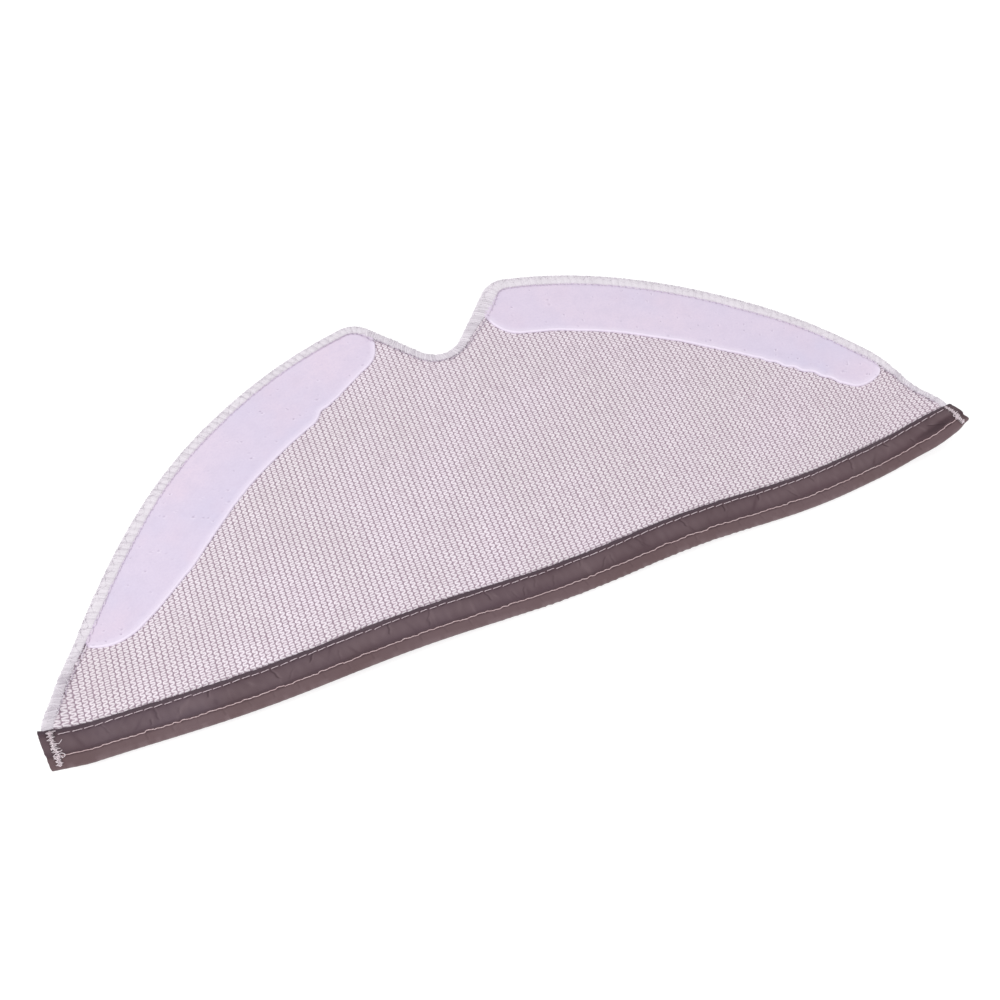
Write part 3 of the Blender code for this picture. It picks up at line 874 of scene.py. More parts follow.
def distance_to_outline(x, y):
    """Distance of each grid point to the grid's own boundary."""
    ring = np.vstack([np.c_[x[:, 0], y[:, 0]], np.c_[x[-1, 1:], y[-1, 1:]],
                      np.c_[x[::-1, -1], y[::-1, -1]][1:], np.c_[x[0, ::-1], y[0, ::-1]][1:-1]])
    ring = np.vstack([(ring + np.roll(ring, -1, 0)) / 2, ring])
    points = np.c_[x.ravel(), y.ravel()]
    distance = np.empty(len(points))
    chunk = 4000                        # limits the memory in use
    for i in range(0, len(points), chunk):
        offsets = points[i:i + chunk, None] - ring[None]
        distance[i:i + chunk] = np.sqrt((offsets ** 2).sum(-1).min(1))
    distance = distance.reshape(x.shape)
    distance[0], distance[-1], distance[:, 0], distance[:, -1] = 0, 0, 0, 0
    return distance


def strip_marks(sign, seed, angle, inner, x, y):
    """Depth of the pits in the strip, which also sets their painted shade, and painted highlights:
    pale crescents below the scattered pits.
    """
    rng = np.random.default_rng(seed)
    pit, pit_highlight = np.zeros_like(x), np.zeros_like(x)
    for _ in range(110):
        k = rng.integers(8, len(angle) - 8)
        radius = rng.uniform(inner[k] + 1.0, 145.0) if inner[k] < 143 else 144.0
        pit_x, pit_y = sign * radius * math.sin(angle[k]), RIM_Y + radius * math.cos(angle[k])
        width = rng.uniform(0.14, 0.34)
        deep = rng.uniform(0.15, 1.0) ** 1.7
        distance = np.hypot((x - pit_x) / (width * rng.uniform(0.8, 1.6)), (y - pit_y) / width)
        pit = np.maximum(pit, deep * np.exp(-distance ** 2))
        # painted highlight: a pale crescent on the lower side of each scattered pit
        crescent = np.exp(-((distance - 1.7) / 0.55) ** 2) * (y < pit_y + 0.1)
        pit_highlight = np.maximum(pit_highlight, 0.7 * deep * crescent)
    # the overlock needle's holes, sunk and given painted shade like the pits
    length, points, outward = edge_path(0.0, WRAP_END_Y, 0.1)
    for hole in needle_holes(length):
        hole_x, hole_y, out_x, out_y = (np.interp(hole, length, column)
                                        for column in (*points.T, *outward.T))
        reach = 3.42 + WRAP * float(wider(hole_x))
        hole_x, hole_y = hole_x - out_x * reach, hole_y - out_y * reach
        if sign * hole_x > 0:
            square = (x - hole_x) ** 2 + (y - hole_y) ** 2
            pit = np.maximum(pit, 1.1 * np.exp(-square / 0.34 ** 2))
    return pit, pit_highlight


def make_strip(side, sign, seed):
    angle, inner, outer = strip_outline(sign, seed)
    columns = 60
    t = np.linspace(0, 1, columns)
    # columns are closer together at both edges
    t = 0.5 - 0.5 * np.cos(t * math.pi) * 0.55 - 0.5 * (1 - 2 * t) * 0.45
    t = (t - t[0]) / (t[-1] - t[0])
    radius = inner[:, None] + (outer - inner)[:, None] * t[None]
    angles = np.repeat(angle[:, None], columns, 1)
    x = sign * radius * np.sin(angles)
    y = RIM_Y + radius * np.cos(angles)
    depth = distance_to_outline(x, y)
    free = smooth(3.5, 4.6, inset(x, y) - WRAP * wider(x))    # 0 where the overlock holds it
    body = np.sqrt(np.clip(1 - (1 - np.clip(depth / 0.55, 0, 1)) ** 2, 0, None))
    z = STRIP_BASE_Z + (STRIP_TOP - STRIP_BASE_Z) * body
    z = z + 0.13 * np.exp(-((depth - 0.55) / 0.32) ** 2) * free        # heat-cut rim
    z = z - 0.20 * (1 - free) * body                                   # held down by the wrap
    z = z + 0.05 * noise_over(x, y, 4.0, seed + 2) * body
    z = z + 0.022 * noise_over(x, y, 0.7, seed + 3) * body
    # faint ribs along the strip
    patches = smooth(-0.3, 0.6, noise(angles * 9, radius / 8, seed + 9))
    z = z + (0.05 * np.sin((radius - 137.3) * 0.9) * smooth(0.6, 3.0, depth)
             * (0.3 + 0.7 * patches))
    pit, pit_highlight = strip_marks(sign, seed, angle, inner, x, y)
    z = z - 0.16 * pit
    # the rim mask: a paler band along the free edges, plus the painted highlights beside the pits
    rim = np.maximum(np.exp(-((depth - 0.35) / 0.4) ** 2) * free * 0.9,
                     0.45 * smooth(2.6, 0.4, depth) * free)
    rim = np.maximum(rim, pit_highlight)

    # the flat underside shares the outline's vertices
    top_ids = np.arange(x.size).reshape(x.shape)
    within = np.zeros(x.shape, bool)
    within[1:-1, 1:-1] = True
    low_ids = top_ids.copy()
    low_ids[within] = x.size + np.arange(within.sum())
    vertices = np.vstack([place(x.ravel(), y.ravel(), z.ravel()),
                          place(x[within], y[within], np.full(within.sum(), 3.36))])

    def quads(ids):
        return np.stack([ids[:-1, :-1], ids[1:, :-1], ids[1:, 1:], ids[:-1, 1:]],
                        -1).reshape(-1, 4)

    top, low = quads(top_ids), quads(low_ids)
    if sign > 0:
        top = top[:, ::-1]
    else:
        low = low[:, ::-1]
    underside = np.zeros(within.sum())
    ob = mesh_object(f"loop_strip_{side}_tape", vertices, [top, low], STRIP, {
        "pit": np.concatenate([np.clip(pit.ravel() * 0.8, 0, 1), underside]),
        "rim": np.concatenate([np.clip(rim.ravel(), 0, 1), underside])})
    face_outwards(ob)
    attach(ob, "cloth")
    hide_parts(f"loop_strip_{side}")


make_strip("left", -1, seed=21)
make_strip("right", 1, seed=22)


# ---- overlocked edge ------------------------------------------------------------------------
# sections of the wrap's soft body: depth inside the cut edge, height
UPPER_BODY = ((3.2, 3.50), (3.0, 3.78), (2.5, 3.98), (1.9, 4.03), (1.25, 3.97), (0.65, 3.74),
              (0.22, 3.36), (0.06, 2.9), (0.42, 2.86), (0.62, 3.05), (1.1, 3.34), (2.0, 3.40),
              (3.0, 3.42))
LOWER_BODY = ((0.24, 2.62), (0.16, 2.3), (0.3, 1.9), (0.7, 1.55), (1.3, 1.40), (2.2, 1.42),
              (3.0, 1.62), (2.9, 1.82), (2.0, 1.86), (1.1, 1.9), (0.6, 2.2), (0.48, 2.58))
# paths of the looper strands across the edge: depth, height
UPPER_STRAND = ((3.22, 3.42), (3.0, 3.72), (2.4, 3.92), (1.6, 3.96), (0.9, 3.84), (0.42, 3.55),
                (0.15, 3.2), (0.12, 2.86))
LOWER_STRAND = ((0.12, 2.64), (0.10, 2.3), (0.24, 1.86), (0.66, 1.48), (1.3, 1.32), (2.2, 1.32),
                (3.0, 1.5), (3.15, 1.78))
STRAND_END_Y = WRAP_END_Y + 0.3


def over_strip(x, y):
    """1 where the wrap lies over a loop strip, 0 where it lies over bare knit."""
    degrees = rim_polar(np.abs(x), y)[1]
    return smooth(7.2, 8.6, degrees) * smooth(65.2, 63.6, degrees)


def beside_notch(x):
    return smooth(50, 36, np.abs(x))


def tuck_down(y, z):
    """Presses the wrap flat where it runs under the binding's lip."""
    return 2.45 + (z - 2.45) * (1 - 0.55 * smooth(2.4, 0.2, y))


def wrap_body(shells, upper):
    """The mass of the wrap: a soft body swept along the edge."""
    length, points, outward = edge_path(0.0, WRAP_END_Y, 0.3 if upper else 0.6)
    edge_x, edge_y = points.T
    on = over_strip(edge_x, edge_y)
    notch = beside_notch(edge_x)
    rough = 0.05 * noise_along(length, 1.1, 31) + 0.07 * noise_along(length, 3.4, 32)
    rings, tones = [], []
    for depth, height in UPPER_BODY if upper else LOWER_BODY:
        inner = depth * (1 + wider(edge_x) - 0.16 * (1 - on))
        if depth > 2.4:
            inner = inner + 0.10 * noise_along(length, 2.3, 33)
        if depth < 0.5:
            inner = inner + 0.06 * noise_along(length, 0.8, 35)
        z = height + (rough * (1.0 if depth > 0.9 else 0.6) * (1 if upper else -1)
                      * (0.8 if 0.4 < depth < 3 else 0.3))
        tone = 0.04 + (1 - on) * (0.34 * notch + 0.16 * (1 - notch))
        if upper and height > 3.3:
            # each stitch puffs up between the needle's holes
            puff = stitch_wave(length, depth)
            z = (z + 0.16 * on * smooth(0.2, 1.5, depth) + 0.10 * on * puff
                 - (1 - on) * (0.22 - 0.10 * notch) * smooth(0.2, 1.2, depth))
            inner = inner - 0.05 * on * puff * (depth < 0.7)
            # painted shade in the dips between the puffs, over the strips
            tone = tone + ((0.42 - 0.27 * smooth(0, 20, edge_x)) * on * smooth(-0.45, -1.0, puff)
                           * (0.5 + 0.5 * noise_along(length, 3, 37)))
        tones.append(np.clip(tone, 0, 1))
        rings.append(place(*inwards(points, outward, inner), tuck_down(edge_y, z)))
    rings = np.stack(rings, 1)
    shells.sweep(rings if upper else rings[:, ::-1], tone=np.stack(tones, 1).ravel())


def wrap_strands(shells, upper):
    """The looper strands, laid side by side across the edge."""
    length, points, outward = edge_path(0.0, STRAND_END_Y, 0.78 if upper else 1.1)
    over = over_strip(*points.T)
    notches = beside_notch(points[:, 0])
    tangent = np.c_[outward[:, 1], -outward[:, 0]]
    waves = stitch_wave(length + 0.3, 2.0) * (1 - 0.5 * smooth(0, 20, points[:, 0]))
    # painted shadow: dark specks along the outermost edge, where the lower looper shades it
    edge_shadow_specks = np.clip(2.2 * noise(length * 0.7, length * 0, 38), 0, 1) * over
    draw = np.random.default_rng(41 if upper else 42).standard_normal
    depth, height = np.array(UPPER_STRAND if upper else LOWER_STRAND).T
    share = np.arange(len(depth)) / (len(depth) - 1)
    for k, (on, notch, wave) in enumerate(zip(over, notches, waves)):
        loose = (1 - on) if upper else 0.0
        lean = (-0.60 if upper else 0.32) + (0.10 + 0.22 * loose) * draw()
        thick = 0.31 + (0.03 + 0.04 * loose) * draw()
        gain, lift = 1.0, 0.0
        if upper:
            thick = thick - 0.04 * on
            lift = 0.07 * on - loose * (0.20 - 0.12 * notch + 0.05 * draw()) + 0.09 * on * wave
            gain = 1 + wider(points[k, 0]) - 0.16 * (1 - on)
        inner = depth * gain + 0.10 * draw() * (depth > 2.5)
        slide = (share - 0.5) * lean * 2 + 0.03 * draw(len(depth))
        x, y = (points[k] - outward[k] * inner[:, None] + tangent[k] * slide[:, None]).T
        z = tuck_down(y, height + lift * np.where((depth > 0.3) & (depth < 3.1), 1, 0.3))
        tone = max((1 - on) * 0.10 + (0.12 + 0.16 * loose) * draw(), 0.0)
        # painted shade where the stitch wave dips between the puffs
        tone = tone + ((0.42 - 0.24 * float(smooth(0, 20, points[k, 0]))) * on
                       * smooth(0.2, -0.9, wave))
        shells.tube(place(x, y, z), thick * 0.86,
                    tone=np.clip(tone + 0.55 * edge_shadow_specks[k] * smooth(1.2, 0.2, depth), 0, 1))


def crossing_strand(shells):
    """A looser strand lies along the wrap and crosses the others."""
    length, points, outward = edge_path(1.75, STRAND_END_Y, 0.5)
    on = over_strip(*points.T)
    sway = (0.85 + 0.1 * on) * np.sin(length * 2 * math.pi / 4.7
                                      + 2 * noise_along(length, 9, 51))
    z = 4.02 + 0.05 * noise_along(length, 0.9, 52) - 0.10 * np.abs(sway) ** 2 * 0.5
    z = tuck_down(points[:, 1], z + 0.10 * on + 0.10 - 0.22 * (1 - on))
    shells.tube(place(*inwards(points, outward, -sway), z), 0.13, sides=5, tone=0.1)


def wrap_piece(layer):
    upper = layer == "upper"
    shells = Shells()
    wrap_body(shells, upper)
    wrap_strands(shells, upper)
    if upper:
        crossing_strand(shells)
    ob = shells.object(f"overlock_{layer}_looper_wrap", LOOPER_THREAD)
    on_cloth(ob, f"overlock_{layer}_looper_thread")


def overlock_needle():
    """Straight stitches along the wrap's inner edge, each sunk at its two ends."""
    shells = Shells()
    length, points, outward = edge_path(0.0, WRAP_END_Y, 0.05)
    rng = np.random.default_rng(61)
    holes = needle_holes(length)
    share = np.linspace(0, 1, 9)
    for start, end in zip(holes, holes[1:]):
        at = np.linspace(start + 0.15 + 0.08 * rng.random(), end - 0.15 - 0.08 * rng.random(), 9)
        edge_x, edge_y, out_x, out_y = (np.interp(at, length, column)
                                        for column in (*points.T, *outward.T))
        x, y = edge_x - out_x * 3.28, edge_y - out_y * 3.28
        if y.min() < 2.2:
            continue
        on = float(over_strip(x[4], y[4]))
        shift = (0.10 * rng.standard_normal() + (share - 0.5) * 0.25
                 - WRAP * (wider(x) - 0.13 * (1 - on)) - 0.12)
        z = 3.34 + (0.38 + 0.31 * on) * np.sin(share * math.pi) ** 0.5
        # painted shade where the thread dives into its holes
        lobe = float(bell(np.abs(x[4]), 27.0, 16.0))
        hole = (0.45 + 0.55 * rng.random()) * (1 - 0.3 * on * (1 - lobe))
        bare = 0.30 * (1 - on) + 0.25 * lobe
        shells.tube(place(x + out_x * shift, y + out_y * shift, z), 0.15 + 0.025 * on,
                    tone=np.clip(bare + hole * np.abs(2 * share - 1) ** 3 * 1.2, 0, 1))
    ob = shells.object("overlock_needle_stitches", NEEDLE_THREAD)
    on_cloth(ob, "overlock_needle_thread")


wrap_piece("upper")
wrap_piece("lower")
overlock_needle()


# ---- binding --------------------------------------------------------------------------------
INNER_SEAM, OUTER_SEAM, CHANNEL_END, FLANGE_TOP = -1.3, -7.0, -6.3, 2.75
INNER_PITCH, OUTER_PITCH = 2.8, 2.5
TAPE_THICK = 0.42
PRESS_Z = 2.1                           # height towards which the ends are pressed
TOP, FOLD, FLOOR = 0, 1, 2              # parts of the tape's section

pucker_rng = np.random.default_rng(71)
draw = pucker_rng.uniform
# soft puckers: x, y, reach along y, reach along x, slant, height
PUCKERS = [(x + draw(-3, 3), draw(-5.6, -2.6), draw(0.9, 3.0), draw(0.35, 0.8),
            draw(-0.9, 0.9), pucker_rng.choice((-1, 1)) * draw(0.04, 0.17))
           for x in np.arange(-136, 137, 5.2)]
PUCKERS += [(draw(-140, 140), draw(-9.3, -7.9), draw(0.5, 1.1), draw(0.4, 0.9),
             draw(-0.3, 0.3), draw(-0.10, 0.08)) for _ in range(60)]
# sharp little folds beside the two seams: x, y from, y to, slant, depth
CREASES = [(x + draw(-4, 4), -1.5, draw(-5.2, -2.9), draw(-0.7, 0.7), draw(0.06, 0.2))
           for x in np.arange(-128, 130, 15.5)]
CREASES += [(draw(-135, 135), -6.1, draw(-4.6, -3.2), draw(-0.8, 0.8), draw(0.05, 0.12))
            for _ in range(12)]
CREASES += [(x, -7.4, -9.2, draw(-0.3, 0.3), draw(0.03, 0.08))
            for x in np.arange(-120, 130, 7.3)]
# the fold near the right end, where the twist gathers the channel
CREASES += [(138.0, -5.9, -3.6, -1.9, 0.24)]


def tape_relief(x, y):
    """Height of the tape's upper skin over its plain section, and a mask that paints shade into
    the seam grooves, the creases and the hollow and fold near the right end, and darkens the right
    tip.
    """
    x, y = np.broadcast_arrays(np.asarray(x, float), np.asarray(y, float))
    z = 0.07 * noise(x / 9.0, y / 5.0, 72) + 0.03 * noise_over(x, y, 1.7, 73)
    for pucker_x, pucker_y, reach_y, reach_x, slant, height in PUCKERS:
        if (np.abs(x - pucker_x) < 6).any():
            across = (x - pucker_x - slant * (y - pucker_y)) / reach_x
            z = z + height * np.exp(-across ** 2 - ((y - pucker_y) / reach_y) ** 2)
    # dark: painted shade along the creases and in the hollow and fold near the right end, and a
    # darker right tip
    dark = np.zeros_like(z)
    for crease_x, start, end, slant, depth in CREASES:
        if not (np.abs(x - crease_x) < 9).any():
            continue
        low, high = min(start, end), max(start, end)
        on = smooth(low - 0.5, low + 0.5, y) * smooth(high + 0.4, high - 0.2, y)
        across = x - crease_x - slant * (y - start) - 0.12 * np.sin(3.0 * (y - start))
        z = (z - depth * on * np.exp(-(across / 0.22) ** 2)
             + 0.7 * depth * on * np.exp(-((across - 0.55) / 0.38) ** 2))
        dark = np.maximum(dark, on * np.exp(-(across / 0.24) ** 2) * min(1.0, 5.0 * depth))
    # a hollow and a fold near the right end, sunk and given painted shade
    hollow = bell(x, 135.5, 5.5) * bell(y, -5.5 + 0.05 * (x - 135.5), 0.95)
    fold = bell(x, 137.0, 4.5) * bell(y, -6.1 + 0.06 * (x - 137.0), 0.34)
    z = z - 0.40 * hollow - 0.28 * fold
    dark = np.maximum(np.maximum(dark, np.maximum(1.5 * hollow, 1.6 * fold)),
                      0.7 * smooth(143.2, 144.5, x))
    # seam grooves, deeper at the stitch holes
    inner = np.exp(-((y - INNER_SEAM) / 0.42) ** 2)
    outer = np.exp(-((y - OUTER_SEAM) / 0.40) ** 2)
    inner_hole = 0.5 + 0.5 * np.cos(2 * math.pi * x / INNER_PITCH)
    outer_hole = 0.5 + 0.5 * np.cos(2 * math.pi * x / OUTER_PITCH)
    z = z - inner * (0.08 + 0.16 * inner_hole ** 2) - outer * (0.10 + 0.12 * outer_hole ** 2)
    # the channel stands up between the rows, and stitches pull small tucks across it
    crown = np.clip(1 - ((y - 0.5 * (INNER_SEAM + CHANNEL_END)) / 2.6) ** 2, 0, 1)
    z = z + 0.22 * crown
    z = z + 0.018 * crown * np.cos(2 * math.pi * x / INNER_PITCH + y * 0.6)
    # painted shade in the seam grooves, strongest at the stitch holes, and in the creases, the
    # hollow and the fold; the right tip is darkened too
    groove = np.maximum(inner * 0.35 * inner_hole + outer * 0.65, 0.8 * dark)
    return z, np.clip(groove, 0, 1)


def plain_top(y):
    """The plain section's upper skin: the channel, then a step down to the flange."""
    step = smooth(CHANNEL_END + 0.15, CHANNEL_END - 0.95, y)
    return TAPE_TOP + (FLANGE_TOP - TAPE_TOP) * step


def relief_share(y):
    """The relief fades out towards the fold."""
    return smooth(-BAND + 0.3, -BAND + 1.6, y)


def near_end(x):
    return smooth(HALF - 5, HALF, np.abs(x))


def press_end(x, z):
    """The tape is pressed thinner at both ends."""
    return PRESS_Z + (z - PRESS_Z) * (1 - 0.22 * near_end(x))


def tape_z(x, y):
    """The tape's upper skin, for the stitches that lie on it."""
    return press_end(x, plain_top(y) + tape_relief(x, y)[0] * relief_share(y))


def tape_section():
    """The folded section from the lip round to the floor side: y, z, part."""
    fold_z = (TAPE_LOW + FLANGE_TOP) / 2
    fold_r = (FLANGE_TOP - TAPE_LOW) / 2
    fold_y = -BAND + fold_r
    top_y = np.concatenate([np.linspace(0, -0.5, 5), np.linspace(-0.5, CHANNEL_END + 0.2, 34)[1:],
                            np.linspace(CHANNEL_END + 0.2, -7.5, 12)[1:],
                            np.linspace(-7.5, fold_y, 8)[1:]])
    section = [(y, float(plain_top(y)), TOP) for y in top_y]
    section += [(fold_y + fold_r * math.cos(angle), fold_z + fold_r * math.sin(angle), FOLD)
                for angle in np.linspace(math.pi / 2, 3 * math.pi / 2, 13)[1:]]
    section += [(y, TAPE_LOW, FLOOR) for y in np.linspace(fold_y, 0.0, 22)[1:]]
    return np.array(section)


def tape_piece():
    section = tape_section()
    stations = np.linspace(-HALF, HALF, 1161)
    x = np.repeat(stations[:, None], len(section), 1)
    y, plain_z, part = (np.repeat(column[None], len(stations), 0) for column in section.T)
    relief, groove = tape_relief(x, y)
    on_top = (part == TOP) * relief_share(y)
    outer_z = plain_z + relief * on_top
    # gentle puckers on the floor side
    outer_z = outer_z + (part == FLOOR) * (0.05 * noise_over(x, y, 2.1, 81) - 0.03)
    # ragged lip, scalloped fold
    lip = np.exp(-np.abs(y) / 0.35)
    outer_y = y + lip * (0.10 * noise_along(x, 1.4, 82) + 0.07 * noise_along(x, 0.5, 83))
    strength = 0.25 + 0.75 * (smooth(-25, 0, x) * smooth(75, 55, x))
    waves = np.abs(np.sin(math.pi * x / 2.25 + 0.5 * noise_along(x, 8, 84)))
    scallop = 0.10 * strength * (waves - 0.6) + 0.06 * noise_along(x, 1.1, 85) * strength
    at_fold = smooth(-BAND + 1.6, -BAND + 0.2, y)
    outer_y = outer_y + at_fold * scallop * 1.6
    # ends: pressed thinner, corners slightly rounded
    end = near_end(x)
    outer_z = press_end(x, outer_z)
    corner = np.clip((np.abs(y + BAND / 2) - BAND / 2 + 0.9) / 0.9, 0, 1)
    skin_x = x - np.sign(x) * 0.22 * end * corner ** 2
    skin_x = skin_x + 0.12 * end * noise(y / 0.9, outer_z, 86)
    # inner skin: the same section, one thickness inside
    run_y = np.gradient(outer_y, axis=1)
    run_z = np.gradient(outer_z, axis=1)
    run = np.hypot(run_y, run_z) + 1e-9
    normal_y, normal_z = -run_z / run, run_y / run
    into = np.where(normal_z[:, 3:4] < 0, 1.0, -1.0)
    inner_y = outer_y + normal_y * TAPE_THICK * into
    inner_z = outer_z + normal_z * TAPE_THICK * into
    inner_y[:, 0], inner_y[:, -1] = outer_y[:, 0] - 0.02, outer_y[:, -1] - 0.02
    outer = place(skin_x.ravel(), outer_y.ravel(), outer_z.ravel()).reshape(*x.shape, 3)
    inner = place(skin_x.ravel(), inner_y.ravel(), inner_z.ravel()).reshape(*x.shape, 3)
    shells = Shells()
    shells.sweep(np.concatenate([outer, inner[:, ::-1]], 1))

    region = 0.5 * smooth(-0.75, -1.1, y) + 0.5 * smooth(CHANNEL_END - 0.2, CHANNEL_END - 0.9, y)
    region = np.where(part == FLOOR, 0.5, np.clip(region, 0, 1))
    # painted highlight where the surface stands high, on puckers, crease ridges and the channel's
    # crown, and faint wear along the fold
    wear_and_highlight = (np.clip(relief * 3.0, 0, 1) * on_top
            + 0.8 * at_fold * np.clip(0.4 + noise_along(x, 1.3, 87), 0, 1))

    def both_skins(values, inner_value):
        return np.concatenate([values, np.full_like(values, inner_value)], 1).ravel()

    ob = shells.object("binding_tape_cloth", TAPE, {"region": both_skins(region, 0.5),
                                                    "wear_and_highlight": both_skins(wear_and_highlight, 0.0),
                                                    "groove": both_skins(groove * on_top, 0.0)})
    on_binding(ob, "binding_tape")


tape_piece()


# ---- stitches on the binding ----------------------------------------------------------------
SEAM_REACH, OUTER_NEEDLE_REACH = 141.6, 143.6   # how far the seams run from the middle
BOBBIN_R = 0.17


def dashed_stitch(pitch, gap, crest):
    """Along and height of one stitch that dives into its holes."""
    return ((0.0, -0.55), (gap * 0.9, -0.05), (gap * 1.6, 0.14), (pitch * 0.3, 0.20),
            (pitch * 0.5, 0.23 * crest), (pitch * 0.7, 0.20), (pitch - gap * 1.6, 0.14),
            (pitch - gap * 0.9, -0.05))


def running_stitch(pitch):
    """Along and height of one stitch that stays on the surface."""
    return ((0.0, 0.02), (pitch * 0.18, 0.10), (pitch * 0.36, 0.14), (pitch * 0.54, 0.15),
            (pitch * 0.72, 0.13), (pitch * 0.88, 0.08))


def seam_top(side, seam_y, pitch, reach, radius, sway, material, seed, dash=None):
    """One needle thread on the tape. With a dash length it goes down through a hole between
    stitches, without one it runs on over the surface."""
    draw = np.random.default_rng(seed).standard_normal
    count = int(2 * reach / pitch)
    first = -count * pitch / 2
    points = []                         # x, y, height over the tape
    for i in range(count):
        start = first + i * pitch
        if dash:
            gap = min(max((pitch - dash) / 2 * (1 + 0.35 * draw()), 0.12), 0.55)
        slant = sway * (1 + 0.5 * draw())
        y = seam_y + 0.07 * draw()
        crest = 1 + 0.25 * draw()
        for dx, dz in dashed_stitch(pitch, gap, crest) if dash else running_stitch(pitch):
            share = dx / pitch - 0.5
            if dash:
                dy = slant * share
                points.append((start + dx, y + dy, dz))
            else:
                dy = slant * math.sin(2 * math.pi * (dx / pitch)) * 0.5
                points.append((start + dx, y + dy + 0.05 * math.sin(i * 1.7 + share), dz))
    points.append((first + count * pitch, seam_y, -0.4))
    x, y, lift = np.array(points).T
    shells = Shells()
    shells.tube(place(x, y, tape_z(x, y) + lift), radius, sides=8)
    ob = shells.object(f"{side}_seam_needle_stitches", material)
    on_binding(ob, f"{side}_seam_needle_thread")


def seam_low(side, seam_y, pitch, material):
    """Bobbin thread: lies almost flat on the floor side, pinched at each stitch."""
    count = int(2 * SEAM_REACH / pitch)
    x = -count * pitch / 2 + np.arange(count * 6 + 1) * pitch / 6
    z = TAPE_LOW - 0.12 + np.cos(2 * math.pi * x / pitch) * 0.10
    y = seam_y + 0.05 * np.sin(2 * math.pi * x / pitch)
    shells = Shells()
    shells.tube(place(x, y, z), BOBBIN_R)
    ob = shells.object(f"{side}_seam_bobbin_stitches", material)
    on_binding(ob, f"{side}_seam_bobbin_thread")


seam_top("inner", INNER_SEAM, INNER_PITCH, reach=SEAM_REACH, radius=0.122, sway=0.17,
         material=INNER_SEAM_THREAD, seed=91, dash=2.2)
seam_top("outer", OUTER_SEAM, OUTER_PITCH, reach=OUTER_NEEDLE_REACH, radius=0.145, sway=0.11,
         material=CREAM, seed=92)
seam_low("inner", INNER_SEAM, INNER_PITCH, WHITE)
seam_low("outer", OUTER_SEAM, OUTER_PITCH, CREAM)

TACK_X = 142.5                          # middle of a bartack, from the cloth's middle


def bartack_needle(side, sign, seed):
    """Dense back-and-forth stitches across the end, with a few pulled loops and loose ends."""
    rng = np.random.default_rng(seed)
    shells = Shells()

    def lay(x, y, lift, radius):
        shells.tube(place(x, y, tape_z(x, y) + lift), radius)

    for run, step in enumerate((0.20, 0.34)):
        points = []                     # x, y, height over the tape
        y, k = -0.5, 0
        while y > -BAND + 0.7:
            wide = 0.34 + 0.32 * rng.random()
            x = (TACK_X + (wide if k % 2 else -wide) + 0.15 * rng.standard_normal()
                 + (0.3 if run else -0.2))
            points.append((sign * x, y, 0.18 + 0.16 * run))
            points.append((sign * (TACK_X + 0.25 * rng.standard_normal()), y - 0.16,
                           0.30 + 0.18 * run + 0.1 * rng.random()))
            y -= step * (0.8 + 0.9 * rng.random())
            k += 1
        lay(*np.array(points).T, radius=0.15)
    for _ in range(4):                  # pulled loops
        middle = rng.uniform(-9.0, -5.2)
        radius = rng.uniform(0.4, 0.8)
        angle = np.linspace(0, 2 * math.pi * rng.uniform(0.55, 0.95), 14) + rng.uniform(0, 6)
        x = TACK_X + rng.uniform(-1.0, 0.2) + radius * np.cos(angle)
        x = np.minimum(x, HALF - 0.7)
        y = middle + 0.75 * radius * np.sin(angle)
        arch = 0.22 * np.sin(np.linspace(0, math.pi, 14))
        lay(sign * x, y, 0.30 + arch + 0.1 * rng.random(), radius=0.11)
    share = np.linspace(0, 1, 12)
    for _ in range(3):                  # loose ends
        start = rng.uniform(-9.0, -1.0)
        x = TACK_X + 0.3 + share * rng.uniform(-2.6, 1.6)
        y = start + share * rng.uniform(-1.3, 1.3) + 0.35 * np.sin(share * 7)
        y = np.clip(y, -BAND + 0.7, -0.3)
        lay(sign * x, y, 0.22 + 0.25 * np.sin(share * math.pi) * rng.random(), radius=0.10)
    ob = shells.object(f"bartack_{side}_needle_stitches", WHITE, outwards=False)
    on_binding(ob, f"bartack_{side}_needle_thread")


def bartack_bobbin(side, sign):
    """Plain zigzag on the floor side."""
    points = []
    y, k = -0.9, 0
    while y > -BAND + 1.2:
        points.append((sign * (TACK_X + (0.8 if k % 2 else -0.8)), y))
        y -= 0.5
        k += 1
    x, y = np.array(points).T
    shells = Shells()
    shells.tube(place(x, y, press_end(x, TAPE_LOW) - 0.10), 0.16)
    ob = shells.object(f"bartack_{side}_bobbin_stitches", WHITE, outwards=False)
    on_binding(ob, f"bartack_{side}_bobbin_thread")


for side, sign, seed in (("left", -1, 101), ("right", 1, 102)):
    bartack_needle(side, sign, seed)
    bartack_bobbin(side, sign)


